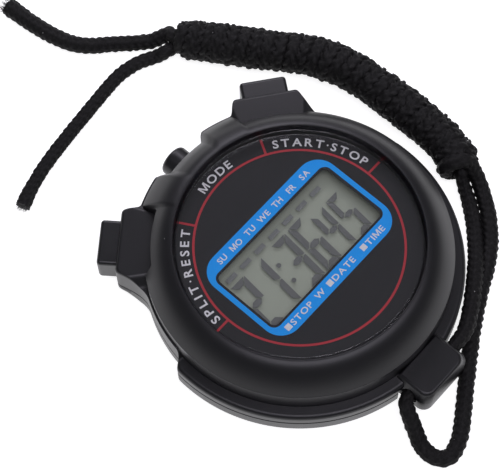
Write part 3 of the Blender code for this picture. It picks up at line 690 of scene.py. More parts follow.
def braid_mesh(name, line, radius, reshape, relief):
    """A braided tube along a line, closed at each end. radius is one number for each point, and relief
    one number or one for each. reshape, if given, is a 3 x 3 matrix for each."""
    _, side, other = frames_along(line)
    rows = len(line)
    turn = np.arange(ROUND) / ROUND
    along = np.arange(rows)[:, None] / ROUND
    height = braid_height(turn[None, :], along)
    relief = np.broadcast_to(np.asarray(relief), rows)[:, None]
    lump = np.sin(along * 37 + 5 * np.sin(math.tau * turn + along * 9))
    lump = lump * np.sin(along * 23.7 + 3 * np.cos(math.tau * turn * 2)[None, :])
    out = radius[:, None] + relief * (height - 0.6) * (1 + 0.25 * lump) + 0.05 * MM * lump
    angle = (math.tau * turn)[None, :, None]
    offset = out[:, :, None] * (np.cos(angle) * side[:, None, :] + np.sin(angle) * other[:, None, :])
    if reshape is not None:
        offset = np.einsum("rij,rkj->rki", reshape, offset)
    points = np.vstack([(line[:, None, :] + offset).reshape(-1, 3), line[0], line[-1]])
    i = np.arange(ROUND)
    j = (i + 1) % ROUND
    row = (np.arange(rows - 1) * ROUND)[:, None]
    quads = np.stack([row + i, row + j, row + ROUND + j, row + ROUND + i], axis=-1).reshape(-1, 4)
    first, last, base = rows * ROUND, rows * ROUND + 1, (rows - 1) * ROUND
    faces = [tuple(q) for q in quads.tolist()]
    faces += [(first, int(b), int(a)) for a, b in zip(i, j)]
    faces += [(last, int(base + a), int(base + b)) for a, b in zip(i, j)]
    mesh = bpy.data.meshes.new(name)
    mesh.from_pydata(points.tolist(), [], faces)
    u = np.stack([i, i + 1, i + 1, i], axis=-1) / ROUND
    v = (np.arange(rows - 1)[:, None, None] + np.array([0, 0, 1, 1])) / ROUND
    walls = np.stack(np.broadcast_arrays(u, v), axis=-1).reshape(-1, 2)
    caps = np.zeros((6 * ROUND, 2))
    mesh.uv_layers.new(name="braid").data.foreach_set("uv", np.vstack([walls, caps]).ravel())
    mesh.update()
    return mesh


def winding_line():
    """The centreline of the strand that is wound round the other one, from the loop to the lower tail."""
    axis = smooth_route(GRIP_ROUTE[::-1], 0.25 * MM)
    ahead, _, _ = frames_along(axis)
    side = unit(np.cross(ahead, (0, 0, 1)))
    over = np.cross(side, ahead)
    far = np.linspace(0, 1, len(axis))
    length = 0.25 * MM * (len(axis) - 1)
    uneven = 0.22 * np.sin(far * 41) + 0.20 * np.sin(far * 97 + 1) + 0.12 * np.sin(far * 173 + 2)
    phase = math.radians(-25) + math.tau * WINDING_TURNS * far + uneven
    swell = 1 + 0.025 * np.sin(far * 23 + 2) + 0.018 * np.sin(far * 61)
    reach = WIND_R * swell * np.clip(0.62 + far * length / (3.0 * MM), 0, 1)
    reach = reach * np.clip(0.50 + (1 - far) * length / (6.5 * MM), 0, 1)
    fine = np.linspace(0, len(axis) - 1, WINDING_TURNS * 60)
    p, r, middle, side, over = (read_at(fine, np.arange(len(axis)), values.reshape(len(axis), -1))
                                for values in (phase, reach, axis, side, over))
    coil = middle + r * (np.cos(p) * side + np.sin(p) * over)
    coil[:, 2] = np.maximum(coil[:, 2], CORD_R + 0.03 * MM)
    return coil


def radii(far, *keys):
    """The cord's radius along it, from (distance, radius) pairs in millimetres."""
    places, sizes = np.array(keys).T * MM
    return np.interp(far, places, sizes)


def make_lanyard(yarn, fibre):
    """One braided cord through the lug's hole. Its inner strand runs straight through the grip that
    the outer strand winds round it."""
    hole, split = (0, HOLE_Y, HOLE_Z), THROUGH_HOLE + 1
    inner = smooth_route([hole] + LOOP_ROUTE[:split][::-1] + GRIP_ROUTE[::-1] + UPPER_TAIL, STEP)
    far = np.arange(len(inner)) * STEP
    radius = np.maximum(radii(far, (0, 1.38), (7, 1.38), (12, 1.58), (38, 1.55), (44, 1.25)),
                        radii(far[::-1], (0, 1.88), (5, 1.74), (24, 1.58), (44, 1.48), (46, 1.2)))
    cord_piece("lanyard_inner_strand", inner, radius, yarn, ["lanyard_upper_tail"],
               frayed_end("frayed_upper_tail", inner, 1.8 * MM, fibre, 3))
    loop = smooth_route([hole] + LOOP_ROUTE[split:], STEP)
    joined = np.vstack([loop[:-4], winding_line()[10:-14], smooth_route(LOWER_TAIL, STEP)[3:]])
    outer = spaced(relaxed(spaced(joined, STEP / 2), 6), STEP)
    far = np.arange(len(outer)) * STEP
    radius = np.where(far[::-1] < 50 * MM, radii(far[::-1], (0, 1.45), (2, 1.50), (5, 1.33), (46, 1.38)),
                      radii(far, (0, 1.38), (7, 1.38), (12, 1.56), (95, 1.56), (110, 1.38)))
    cord_piece("lanyard_outer_strand", outer, radius, yarn,
               ["lanyard_loop", "lanyard_grip", "lanyard_lower_tail"],
               frayed_end("frayed_lower_tail", outer, 1.3 * MM, fibre, 0), True)


def frayed_end(name, line, radius, fibre, spikes):
    """The loose fibres at a cut end: short ones all over it, and a few tufts that cling into spikes."""
    end, ahead = Vector(line[-1]), Vector(line[-1] - line[-8]).normalized()
    side = ahead.cross((0, 0, 1)).normalized()
    # each tuft: shift to the side and length in mm, radius of its root, spread and tilt, fibres for each m2
    tufts = [(0.0, radius * 0.92, 1.0, 0.45, 0.0, 9.0e6)]
    tufts += [(at * 1.25, 0.42 * MM, 2.3, 0.20, at * 0.35, 4.5e7)
              for at in (k - (spikes - 1) / 2 for k in range(spikes))]
    mesh = bmesh.new()
    for number, (shift, reach, length, spread, tilt, density) in enumerate(tufts):
        tuft = tuft_of_copies().made({
            "Copy": helper("fibre", strand(length)), "Radius": reach, "Density": density,
            "Lean": (-spread, tilt - spread, -math.pi), "Other Lean": (spread, tilt + spread, math.pi),
            "Shortest": 0.35, "Seed": 3 + number, "Material": fibre})
        place = Matrix((side, side.cross(ahead), ahead)).transposed().to_4x4()
        place.translation = end + side * (shift * MM)
        tuft.transform(place)
        mesh.from_mesh(tuft)
    low = min(v.co.z for v in mesh.verts)
    bmesh.ops.translate(mesh, verts=mesh.verts, vec=(0, 0, max(0, 0.05 * MM - low)))
    return piece(name, mesh, fibre)


def strand(length):
    """A thin tapered fibre of five sides, rooted below the origin. Its length is in millimetres."""
    mesh, radius = bmesh.new(), 0.055 * MM
    route = [Vector(p) * MM for p in ((0, 0, -0.7), (0.03, 0, 0.5 * length), (0.10, 0, length))]
    ahead = (route[-1] - route[0]).normalized()
    side = ahead.orthogonal().normalized()
    other = ahead.cross(side)
    corners = [side * x + other * y for x, y in circle(1, 5)]
    rings = [[mesh.verts.new(point + corner * radius * share) for corner in corners]
             for point, share in zip(route, (1.0, 0.8, 0.35))]
    bridge(mesh, rings)
    mesh.faces.new(rings[0][::-1])
    mesh.faces.new(rings[-1])
    return mesh


def pressed_flat(line):
    """How the strand's section is pressed where it is wound: wide along the grip and thin across it.
    One 3 x 3 matrix and one height of the braid for each point of the line."""
    axis = smooth_route(GRIP_ROUTE, 0.5 * MM)
    ahead, _, _ = frames_along(axis)
    nearest = np.array([np.argmin(((axis - p) ** 2).sum(axis=1)) for p in line])
    away = line - axis[nearest]
    far = np.linalg.norm(away, axis=1)
    inside = (nearest > 3) & (nearest < len(axis) - 4) & (far < 4.5 * MM)
    share = np.convolve(np.pad(inside.astype(float), 8, mode="edge"), np.ones(17) / 17, mode="valid")
    along, out = ahead[nearest], away / np.maximum(far, 1e-6)[:, None]
    wide = (share * 0.50)[:, None, None] * np.einsum("ri,rj->rij", along, along)
    thin = (share * 0.16)[:, None, None] * np.einsum("ri,rj->rij", out, out)
    return np.eye(3)[None] + wide - thin, RELIEF + 0.34 * MM * share


def relaxed(line, rounds):
    """The line with its corners eased."""
    for _ in range(rounds):
        line = np.vstack([line[:1], (line[:-2] + 2 * line[1:-1] + line[2:]) / 4, line[-1:]])
    return line


def cord_piece(name, line, radius, yarn, nodes, frayed, wound=False):
    radius = np.convolve(np.pad(radius, 4, mode="edge"), np.ones(9) / 9, mode="valid")
    line = line.copy()
    line[:, 2] = np.maximum(line[:, 2], radius + 0.12 * MM)
    obj = placed(name, braid_mesh(name, line, radius, *(pressed_flat(line) if wound else (None, RELIEF))))
    dress(obj, yarn, "case", nodes, soft_angle=80, flat_faces=False)


# ---- case shells


HOUSING = (23.8, 27.2, 48.2, 60.0)  # foot and top of each side wall of a button housing


def ease(low, high, value):
    """From 0 to 1, smoothly, as a value goes from low to high."""
    t = min(1.0, max(0.0, (value - low) / (high - low)))
    return t * t * (3 - 2 * t)


def keyed(keys, value):
    """A number read at a value, easing between (value, number) pairs."""
    for (a0, v0), (a1, v1) in zip(keys, keys[1:]):
        if value <= a1:
            return v0 + (v1 - v0) * ease(a0, a1, value)
    return keys[-1][1]


def sharp_wall_radius(a):
    foot, top, far_top, far_foot = HOUSING
    if top <= a <= far_top:
        return HOUSING_END / math.cos(math.radians(a - BUTTON_ANGLE))
    corner = HOUSING_END / math.cos(math.radians(top - BUTTON_ANGLE))
    keys = [(8, 29.6 * MM), (12, CASE_R), (foot, CASE_R), (top, corner)]
    if a < top:
        return keyed(keys, max(a, 8))
    if a < far_foot:
        fall = (a - far_top) / (far_foot - far_top)
        return WAIST_R + (corner - WAIST_R) * (1 - fall) ** 2.2
    return keyed([(82, WAIST_R), (86, CASE_R)], max(a, 82))


def wall_radius(angle):
    """Radius of the case's side wall at a clock angle, with its corners a little round."""
    spread = ((-0.9, 1), (-0.45, 2), (0, 3), (0.45, 2), (0.9, 1))
    return sum(sharp_wall_radius(abs(abs(angle) + d)) * w for d, w in spread) / 9


def bezel_slope(angle):
    """The bezel's slope at a clock angle: its points from the inner edge to the outer one."""
    a = abs(angle)
    shoulder = ease(8, 12, a) * (1 - ease(23.8, 26, a))
    cut = ease(24.6, 26.6, a) * (1 - ease(49.5, 52.5, a))
    low_r = DRUM_R + (SHOULDER_R - DRUM_R) * shoulder
    low_z = DRUM_Z + (SHOULDER_Z - DRUM_Z) * shoulder
    lip = 0.22 * MM
    points = arc((BEZEL_R + lip, BEZEL_Z - lip), lip, 180, 95, 4)
    for i in range(1, 25):
        t = (0.05 + 0.95 * i / 24) * (1 - 0.25 * cut)
        points.append((BEZEL_R + (low_r - BEZEL_R) * t, BEZEL_Z - (BEZEL_Z - low_z) * t**BEZEL_CROWN))
    return points


def shelf(angle):
    """Height and edge round of the shelf outside the bezel: housing top, band top, or none."""
    a = abs(angle)
    height = keyed([(8, 9.5 * MM), (12, 10.7 * MM), (23.8, 10.7 * MM), (26, HOUSING_Z), (50, HOUSING_Z),
                    (55, 9.5 * MM), (81, 9.5 * MM), (84, BAND_Z)], max(a, 8))
    edge = keyed([(8, 0.15 * MM), (12, 0.35 * MM), (23.8, 0.35 * MM), (27.2, 0.8 * MM), (48.2, 0.8 * MM),
                  (54, 0.15 * MM), (83, 0.15 * MM), (86, 0.9 * MM)], max(a, 8))
    return height, edge


def clock_angles():
    """Clock angles for a sweep, closer together where the outline turns."""
    turns_at = ((7.5, 12.5), (22.5, 29), (46.5, 61), (81, 87))
    close_step, wide_step = 0.22, 0.55
    right, a = [], 0.0
    while a < 180:
        right.append(a)
        a += close_step if any(low <= a < high for low, high in turns_at) else wide_step
    return right + [180] + [-x for x in reversed(right[1:])]


def front_section(angle):
    wall = wall_radius(angle)
    height, edge = shelf(angle)
    slope = bezel_slope(angle)
    foot = min(slope[-1][0] + 0.12 * MM, wall - edge - 0.04 * MM)
    nook = min(0.15 * MM, (slope[-1][1] - height) / 3)
    parting = PARTING_Z + CLEAR / 2
    opening = 6 * MM  # the plate's round opening, which the window takes in
    return slope + [
        (foot - 0.02 * MM, slope[-1][1] - 0.14 * MM),
        (foot, height + nook),
        (foot + nook * 0.2, height + nook * 0.4),
        (foot + nook * 0.6, height + 0.02 * MM),
        *arc((wall - edge, height - edge), edge, 90, 0, 6),
        (wall, parting + PARTING_EDGE),
        (wall - PARTING_EDGE, parting),
        (CAVITY_R, parting),
        (CAVITY_R, PLATE_LOW),
        (opening, PLATE_LOW),
        (opening, PLATE_TOP),
        (BEZEL_R, PLATE_TOP),
        (BEZEL_R, LENS_LOW),
        (BEZEL_R, LENS_TOP - 0.2 * MM),
    ]


def rear_section(angle):
    wall = wall_radius(angle)
    a = abs(angle)
    raised = ease(24, 27, a) * (1 - ease(49, 54, a))
    low = HOUSING_LOW * raised
    edge = (1.6 - 0.6 * raised) * MM
    back = 28.4 * MM
    parting = PARTING_Z - CLEAR / 2
    return [
        (0, 0),
        (back - 0.4 * MM, 0),
        (back, 0.02 * MM),
        (min(back + (0.2 + raised) * MM, wall - edge), max(low * 0.9, 0.05 * MM)),
        *arc((wall - edge, low + edge), edge, 270, 360, 7),
        (wall, parting - PARTING_EDGE),
        (wall - PARTING_EDGE, parting),
        (CAVITY_R, parting),
        (CAVITY_R, FLOOR_Z),
        (0, FLOOR_Z),
    ]


def clock_solid(section, closed):
    """Sweeps a section round the case. A section gives (radius, height) points for a clock angle."""
    mesh = bmesh.new()
    angles = clock_angles()
    sections = [section(angle) for angle in angles]
    rings = []
    for radius_height in zip(*sections):
        if radius_height[0][0] == 0:
            rings.append([mesh.verts.new((0, 0, radius_height[0][1]))])
        else:
            rings.append([mesh.verts.new(clock(a, *at)) for a, at in zip(angles, radius_height)])
    bridge(mesh, rings, closed)
    bmesh.ops.recalc_face_normals(mesh, faces=mesh.faces)
    return mesh


def button_aperture(angle):
    width, height = (size + 2 * CLEAR for size in BUTTON_SIZE)
    mesh = prism(rectangle(width, height, 0.6 * MM), 25.5 * MM, 37.5 * MM)
    along_y(mesh, BUTTON_Z).transform(clock_turn(angle))
    return helper(f"aperture_{angle}", mesh)


def apertures():
    """Cutters for the openings of the three buttons."""
    mode = along_y(prism(circle(MODE_R + CLEAR), 25.5 * MM, 36.0 * MM), MODE_Z)
    return [button_aperture(BUTTON_ANGLE), button_aperture(-BUTTON_ANGLE), helper("mode_aperture", mode)]


def lug_block():
    """The lanyard lug: wider below than above, with its edges rounded."""
    mesh = bmesh.new()
    corners = []
    for z, half, end in ((LUG_LOW, LUG_HALF, LUG_END), (LUG_TOP - 2.2 * MM, LUG_HALF, LUG_END),
                         (LUG_TOP, LUG_TOP_HALF, LUG_END + 0.5 * MM)):
        outline = ((-half, LUG_ROOT), (half, LUG_ROOT), (half, end), (-half, end))
        corners.append([mesh.verts.new((x, y, z)) for x, y in outline])
    mesh.faces.new(corners[0])
    mesh.faces.new(corners[-1])
    bridge(mesh, corners)
    bmesh.ops.recalc_face_normals(mesh, faces=mesh.faces)
    outer = [e for e in mesh.edges if all(v.co.y < -36 * MM for v in e.verts)]
    upright = [e for e in outer if abs(e.verts[0].co.x - e.verts[1].co.x) < 3 * MM]
    bmesh.ops.bevel(mesh, geom=upright, offset=2.0 * MM, segments=10, profile=0.5, affect="EDGES")
    top = [e for e in mesh.edges if all(v.co.z > LUG_TOP - 0.1 * MM for v in e.verts)]
    bmesh.ops.bevel(mesh, geom=top, offset=0.5 * MM, segments=4, profile=0.5, affect="EDGES")
    return helper("lug_block", mesh)


BOSSES = [clock(angle, BOSS_RADIUS)[:2] for angle in BOSS_ANGLES]
PILOT_R = 1.3 * MM


def cylinders(radius, steps, places, low, high):
    """Upright cylinders at several places."""
    return merged(*[prism(circle(radius, steps, place), low, high) for place in places])


def make_front_case(plastic):
    case = helper("front_shell", clock_solid(front_section, True))
    bosses = cylinders(BOSS_R, 32, BOSSES, PARTING_Z + CLEAR / 2, PLATE_LOW + CLEAR)
    pilots = cylinders(PILOT_R, 24, BOSSES, 3 * MM, 10 * MM)
    window = prism(rectangle(*WINDOW, 1.2 * MM), 12 * MM, 14 * MM)
    hole = prism(circle(HOLE_R), -10 * MM, 10 * MM)
    hole.transform(Matrix.Translation((0, HOLE_Y, HOLE_Z)) @ Matrix.Rotation(math.pi / 2, 4, "Y"))
    cuts = [helper("pilots", pilots), helper("window", window), helper("hole", hole), *apertures()]
    cut_and_join(case, [lug_block(), helper("bosses", bosses)], cuts)
    return dress(case, plastic, "case", ["front_case"], 32)


def make_rear_case(plastic):
    case = helper("rear_shell", clock_solid(rear_section, False))
    x, y = battery_at = (-6.5 * MM, -13.0 * MM)
    screw_at = [(x + 9.4 * MM, y)]
    below = -1 * MM  # where a cut from the back starts
    posts = merged(cylinders(2.6 * MM, 32, BOSSES, FLOOR_Z - 0.5 * MM, PARTING_Z - CLEAR / 2),
                   cylinders(2.2 * MM, 32, screw_at, FLOOR_Z - CLEAR, 5.2 * MM))
    cuts = {"holes": cylinders(PILOT_R, 24, BOSSES, below, 6 * MM),
            "sinks": cylinders(2.2 * MM, 40, BOSSES, below, 1.8 * MM),
            "well": prism(circle(6.1 * MM, 64, battery_at), below, 4 * MM),
            "recess": prism(cover_outline(battery_at, CLEAR), below, 1.4 * MM),
            "pilot": cylinders(1.1 * MM, 24, screw_at, 0.5 * MM, 4.7 * MM),
            "clearance": prism(rectangle(14.4 * MM, 12 * MM, centre=(0, -35 * MM)), below, 6 * MM)}
    cuts = [helper(name, mesh) for name, mesh in cuts.items()]
    cut_and_join(case, [helper("posts", posts)], cuts + apertures())
    return dress(case, plastic, "case", ["rear_case"], 32)


def cover_outline(at, grow):
    """The battery cover's outline: a disc with a tab towards +X."""
    radius, reach, half = 7.4 * MM + grow, 9.4 * MM, 2.6 * MM + grow
    start = math.degrees(math.asin(half / radius))
    return arc(at, radius, start, 360 - start, 72) + arc((at[0] + reach, at[1]), half, -90, 90, 20)


# ---- buttons


def button_stem(height, neck, half_flange):
    low, high = 4.0 * MM - height, 7.9 * MM - height
    near, far, foot, tip = 25.2 * MM, 26.0 * MM, 1.4 * MM, 24.23 * MM
    outline = [(neck, BUTTON_BACK + 0.5 * MM), (neck, far), (half_flange, far), (half_flange, near),
               (foot, near), (foot, tip)]
    outline += [(-x, y) for x, y in reversed(outline)]
    return prism(outline, low, high)


def make_button(plastic, body, cap, place, stem):
    stem.transform(place)
    button = cut_and_join(helper(f"{body}_cap", cap), [helper(f"{body}_stem", stem)])
    dress(button, plastic, body, [f"{body}_button"])


def make_buttons(plastic):
    width, height = BUTTON_SIZE
    for body, angle in (("start_stop", BUTTON_ANGLE), ("split_reset", -BUTTON_ANGLE)):
        cap = prism(rectangle(width, BUTTON_END - BUTTON_BACK, centre=(0, (BUTTON_BACK + BUTTON_END) / 2)),
                    -height / 2, height / 2, 0.75 * MM, 6)
        place = clock_turn(angle) @ Matrix.Translation((0, 0, BUTTON_Z))
        cap.transform(place)
        make_button(plastic, body, cap, place, button_stem(BUTTON_Z, 3.0 * MM, 5.7 * MM))
    edge = 0.9 * MM
    profile = [(0, BUTTON_BACK), (MODE_R, BUTTON_BACK), (MODE_R, MODE_END - edge),
               *arc((MODE_R - edge, MODE_END - edge), edge, 10, 85, 7),
               (MODE_R * 0.4, MODE_END + 0.05 * MM), (0, MODE_END + 0.08 * MM)]
    make_button(plastic, "mode", along_y(turned(profile), MODE_Z), Matrix.Translation((0, 0, MODE_Z)),
                button_stem(MODE_Z, 2.3 * MM, 4.6 * MM))


# ---- dial


INK = 0.02 * MM  # thickness of a printed layer
PRINT_Y = -0.12 * MM
FRAME_OUT, FRAME_CORNER = (33.9 * MM, 21.4 * MM), 4.3 * MM
FRAME_IN, FRAME_IN_CORNER = (31.9 * MM, 15.6 * MM), 1.6 * MM
FILM_WINDOW, FILM_CORNER = (30.9 * MM, 14.7 * MM), 1.2 * MM
RING_R, RING_LINE = 20.0 * MM, 0.45 * MM
CAP_HEIGHT = 1.72 * MM
BASELINE_R = 20.85 * MM
FONT_CAP = 0.729  # height of the built-in font's capitals at size 1
BOLD_M = ((0, 0), (0.16, 0), (0.16, 0.70), (0.42, 0), (0.56, 0), (0.82, 0.70), (0.82, 0), (0.98, 0), (0.98, 1),
          (0.76, 1), (0.49, 0.26), (0.22, 1), (0, 1))  # a letter's outline, 1 high, for the font's narrow one
BOLD_M_WIDTH = 0.98


def glyph(letter, cap, stretch=1.0, weight=0.0):
    """A capital as flat triangles: (points, faces, advance), with its baseline at y 0."""
    if letter == "M":
        points = np.array(BOLD_M) * (cap * stretch, cap)
        return points, [tuple(range(len(BOLD_M)))], cap * stretch * BOLD_M_WIDTH
    data = bpy.data.curves.new("glyph", "FONT")
    data.body, data.size, data.resolution_u = letter, 1.0, 4
    data.offset = weight
    obj = placed("glyph", data)
    mesh = evaluated(obj)
    points = np.array([v.co[:2] for v in mesh.vertices])
    faces = [tuple(p.vertices) for p in mesh.polygons]
    bpy.data.objects.remove(obj)
    bpy.data.curves.remove(data)
    bpy.data.meshes.remove(mesh)
    scale = cap / FONT_CAP
    points = points * (scale * stretch, scale)
    low, high = points[:, 0].min(), points[:, 0].max()
    points[:, 0] -= low
    return points, faces, high - low


def thick(sheets, low, high):
    """One mesh of flat outlines, given as (points, faces), each made a thin solid."""
    mesh = bmesh.new()
    for points, faces in sheets:
        lower = [mesh.verts.new((x, y, low)) for x, y in points]
        for face in faces:
            mesh.faces.new([lower[i] for i in face])
    extruded = bmesh.ops.extrude_face_region(mesh, geom=list(mesh.faces))
    raised = [v for v in extruded["geom"] if isinstance(v, bmesh.types.BMVert)]
    bmesh.ops.translate(mesh, verts=raised, vec=(0, 0, high - low))
    bmesh.ops.recalc_face_normals(mesh, faces=mesh.faces)
    return mesh


def glyphs_of(text, cap, stretch, weight, blank):
    """The glyphs of a text and their widths. A space or a dot has no glyph."""
    glyphs = [None if c in " ." else glyph(c, cap, stretch, weight) for c in text]
    return glyphs, [cap * blank if g is None else g[2] for g in glyphs]


def text_line(text, cap, gap, middle_y, stretch, left=None, centre=0.0):
    """Straight lettering: its flat sheets, from a left edge or about a centre."""
    glyphs, widths = glyphs_of(text, cap, stretch, 0.016, 0.55)
    x = centre - (sum(widths) + gap * (len(text) - 1)) / 2 if left is None else left
    sheets = []
    for g, width in zip(glyphs, widths):
        if g is not None:
            sheets.append((g[0] + (x, middle_y - cap / 2), g[1]))
        x += width + gap
    return sheets


def ring_text(text, centre_angle, span):
    """Lettering round the dial, its tops outward: its letters fill a span of clock angles."""
    cap = CAP_HEIGHT
    glyphs, widths = glyphs_of(text, cap, 1.12, 0.020, 0.22)
    middle_r = BASELINE_R + cap / 2
    room = math.radians(span) * middle_r
    gap = (room - sum(widths)) / (len(text) - 1)
    at = -room / 2
    sheets = []
    for g, width in zip(glyphs, widths):
        turn = math.radians(centre_angle) + (at + width / 2) / middle_r
        dot = np.array(circle(cap * 0.10, 16, (0, cap / 2))), [tuple(range(16))]
        points, faces = dot if g is None else (g[0] - (width / 2, 0), g[1])
        x, y = points[:, 0], points[:, 1] + BASELINE_R
        across, up = math.cos(turn), math.sin(turn)
        sheets.append((np.stack([x * across + y * up, y * across - x * up], 1), faces))
        at += width + gap
    return sheets


def outline_band(outer, inner):
    """A flat band between two outlines with as many points each."""
    count = len(outer)
    points = np.array(list(outer) + list(inner))
    faces = [(i, (i + 1) % count, count + (i + 1) % count, count + i) for i in range(count)]
    return points, faces


def make_dial(ground, red, blue, white, pane):
    film = helper("film", turned([(0, FILM_LOW), (FILM_R, FILM_LOW), (FILM_R, FILM_TOP), (0, FILM_TOP)], 180))
    opening = prism(rectangle(*FILM_WINDOW, FILM_CORNER, centre=(0, PRINT_Y)), FILM_LOW - MM, FILM_TOP + MM)
    cut_and_join(film, [], [helper("opening", opening)])
    dress(film, ground, "case", ["dial_film"])
    film.name = "printed_film"
    low = FILM_TOP + 0.005 * MM
    ring = outline_band(circle(RING_R + RING_LINE / 2, 240), circle(RING_R - RING_LINE / 2, 240))
    half, start, end = RING_LINE / 2, RING_R + RING_LINE * 0.49, FILM_R - 0.1 * MM
    corners = np.array([(-half, start), (half, start), (half, end), (-half, end)])
    ticks = [(corners @ np.array(clock_turn(angle).to_2x2()).T, [(0, 1, 2, 3)]) for angle in (-90, -30, 30, 90)]
    piece("red_ring", thick([ring, *ticks], low, low + INK), red)
    frame_band = outline_band(rectangle(*FRAME_OUT, FRAME_CORNER, 12, (0, PRINT_Y)),
                              rectangle(*FRAME_IN, FRAME_IN_CORNER, 12, (0, PRINT_Y)))
    piece("blue_frame", thick([frame_band], low, low + INK), blue)
    letters = ring_text("MODE", 0, 21.8) + ring_text("START.STOP", 60.2, 50.6)
    letters += ring_text("SPLIT.RESET", -60, 53.8)
    upper_y, lower_y, small = 9.03 * MM, -9.29 * MM, 1.25 * MM
    for number, day in enumerate(("SU", "MO", "TU", "WE", "TH", "FR", "SA")):
        letters += text_line(day, small, 0.16 * MM, upper_y, 1.05, centre=(number - 3) * 3.9 * MM - 0.05 * MM)
    for square, text in ((-13.68 * MM, "STOP W"), (-1.96 * MM, "DATE"), (7.71 * MM, "TIME")):
        letters += text_line(text, small, 0.29 * MM, lower_y, 1.20, left=square + 0.95 * MM)
        letters.append((np.array(rectangle(1.2 * MM, 1.2 * MM, centre=(square, lower_y))), [(0, 1, 2, 3)]))
    piece("dial_lettering", thick(letters, low + INK, low + 2 * INK), white)
    edge = 0.25 * MM
    rim, low, high = FILM_R - edge, LENS_LOW, LENS_TOP
    profile = [(0, low), (rim - edge, low), *arc((rim, low + edge), edge, -90, 0, 4),
               *arc((rim, high - edge), edge, 0, 90, 4), (rim - edge, high), (0, high)]
    piece("clear_lens", turned(profile, 180), pane, ["lens"])


# ---- display


SLANT = 0.092  # sideways lean of a digit for its height
BAR_GAP = 0.11 * MM  # each bar is this much smaller all round
BAR_T = 0.03 * MM
SEGMENTS = {"1": "bc", "2": "abged", "3": "abgcd", "4": "fgbc", "5": "afgcd", "6": "afgecd"}


def inset(points, depth):
    """A convex outline, listed anticlockwise, with each side moved inwards."""
    moved = []
    count = len(points)
    for i in range(count):
        before, here, after = (Vector(points[k % count]) for k in (i - 1, i, i + 1))
        one, two = (here - before).normalized(), (after - here).normalized()
        inner_one, inner_two = Vector((-one.y, one.x)), Vector((-two.y, two.x))
        middle = (inner_one + inner_two).normalized()
        moved.append(tuple(here + middle * (depth / middle.dot(inner_one))))
    return moved


def digit(value, centre, width, height, bar):
    """The lit bars of a digit, as flat outlines with mitred ends."""
    w, h, tip = width / 2, height / 2, bar * 0.42
    upright = inset([(w, 0), (w, h - bar * 0.12), (w - bar * 0.12, h), (w - bar, h - bar * 0.95),
                     (w - bar, bar / 2), (w - tip, 0)], BAR_GAP)
    flat = inset([(w - bar * 0.1, h), (-w + bar * 0.1, h), (-w + bar, h - bar), (w - bar, h - bar)], BAR_GAP)
    across = inset([(-w + tip, 0), (-w + bar, -bar / 2), (w - bar, -bar / 2), (w - tip, 0),
                    (w - bar, bar / 2), (-w + bar, bar / 2)], BAR_GAP)
    bars = {"b": (upright, 1, 1), "f": (upright, -1, 1), "c": (upright, 1, -1), "e": (upright, -1, -1),
            "a": (flat, 1, 1), "d": (flat, 1, -1), "g": (across, 1, 1)}
    sheets = []
    for key in SEGMENTS[value]:
        outline, *signs = bars[key]
        points = np.array(outline) * signs
        points[:, 0] += points[:, 1] * SLANT
        sheets.append((points + centre, [tuple(range(len(points)))]))
    return sheets


def make_display(film, pane, dark, faint):
    """Glass over the lit bars, and under them the polariser that their shadow falls on."""
    low, high = PANEL_LOW.z, PANEL_HIGH.z
    plate = rectangle(PANEL_HIGH.x - PANEL_LOW.x, PANEL_HIGH.y - PANEL_LOW.y)
    cell = high - 0.30 * MM
    piece("lcd_polariser", prism(plate, low, cell - 0.55 * MM, 0.05 * MM, 2), film,
          ["lcd_panel"])
    piece("lcd_glass", prism(plate, cell + 0.06 * MM, high, 0.05 * MM, 2), pane)
    large, small = ((-1.33, 4.2, 11.4, 1.5), (-2.13, 3.62, 9.75, 1.3))  # height of centre, width, height, bar
    bars = []
    for value, x, (y, *sizes) in (("2", -13.45, large), ("1", -8.63, large), ("3", -1.90, large),
                                  ("6", 2.90, large), ("4", 7.41, small), ("5", 11.91, small)):
        bars += digit(value, (x * MM, y * MM), *(size * MM for size in sizes))
    for x, y in ((-5.05, 0.72), (-5.40, -3.38)):
        bars.append((np.array(circle(0.48 * MM, 24, (x * MM, y * MM))), [tuple(range(24))]))
    piece("lcd_bars", thick(bars, cell, cell + BAR_T), dark)
    mark = helper("day_mark", prism(rectangle(2.5 * MM, 0.95 * MM), 0, BAR_T))
    days = bmesh.new()
    days.from_mesh(row_of_copies().made({"Copy": mark, "Count": 7, "Start": (-12.88 * MM, 5.65 * MM, cell),
                                         "Step": (3.995 * MM, 0, 0), "Material": faint}))
    piece("lcd_day_marks", days, faint)


# ---- fasteners and works


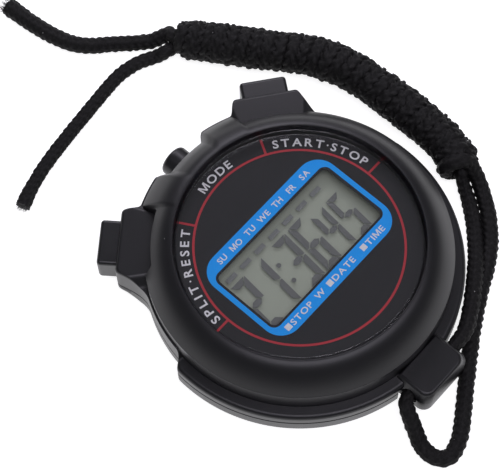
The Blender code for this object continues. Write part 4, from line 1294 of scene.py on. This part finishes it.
def refined(node, material, bevel):
    """A CAD node again, with its edges rounded."""
    mesh = bmesh.new()
    mesh.from_mesh(NODES[node].data)
    bmesh.ops.remove_doubles(mesh, verts=mesh.verts, dist=0.001 * MM)
    bmesh.ops.dissolve_limit(mesh, angle_limit=math.radians(1), verts=mesh.verts, edges=mesh.edges)
    sharp = [e for e in mesh.edges if len(e.link_faces) == 2 and e.calc_face_angle(0) > math.radians(40)]
    bmesh.ops.bevel(mesh, geom=sharp, offset=bevel, segments=2, profile=0.5, affect="EDGES", clamp_overlap=True)
    return piece(f"{node}_shown", mesh, material, [node])


def make_fasteners(plastic, steel):
    refined("battery_cover", plastic, 0.12 * MM)
    for node in ["battery_cover_screw", *(f"case_screw_{n}" for n in range(1, 5))]:
        refined(node, steel, 0.05 * MM)


def paint(nodes, material):
    for name in nodes:
        slots = NODES[name].data.materials
        slots.clear()
        slots.append(material)


def paint_works(steel, brass):
    paint(["lcd_reflector"], moulded("reflector_foil", (0.62, 0.63, 0.60), 0.35))
    paint(["lcd_holder"], moulded("white_plastic", (0.70, 0.70, 0.68), 0.50))
    paint(["zebra_strip_upper", "zebra_strip_lower"], zebra_rubber())
    paint(["circuit_board"], board_laminate())
    paint(["chip_blob"], moulded("chip_epoxy", (0.012, 0.012, 0.012), 0.22))
    paint(["quartz_crystal", "battery", "piezo_spring", *(f"board_screw_{n}" for n in range(1, 4))], steel)
    paint(["battery_contact_plus", "battery_contact_minus", "piezo_disc", "start_stop_contact",
           "split_reset_contact", "mode_contact"], brass)


# ---- all of it


def main():
    make_camera()
    make_floor()
    make_lights()
    plastic, steel = case_plastic(), plated_steel()
    make_lanyard(braided_cord(), loose_fibre())
    make_front_case(plastic)
    make_rear_case(plastic)
    make_buttons(button_plastic())
    make_dial(dial_print(), printed_ink("red_ink", (0.46, 0.030, 0.044), 0.12),
              printed_ink("blue_ink", (0.002, 0.350, 0.95), 0.05),
              printed_ink("white_ink", (0.80, 0.80, 0.81), 0.10), clear_pane("clear_lens", (0.99, 0.99, 0.99)))
    make_display(polariser_film(), clear_pane("lcd_glass", (0.98, 0.99, 0.98)),
                 liquid_crystal("lit_bar", 0.17), liquid_crystal("day_mark", 0.27))
    make_fasteners(plastic, steel)
    paint_works(steel, rolled_brass())


main()
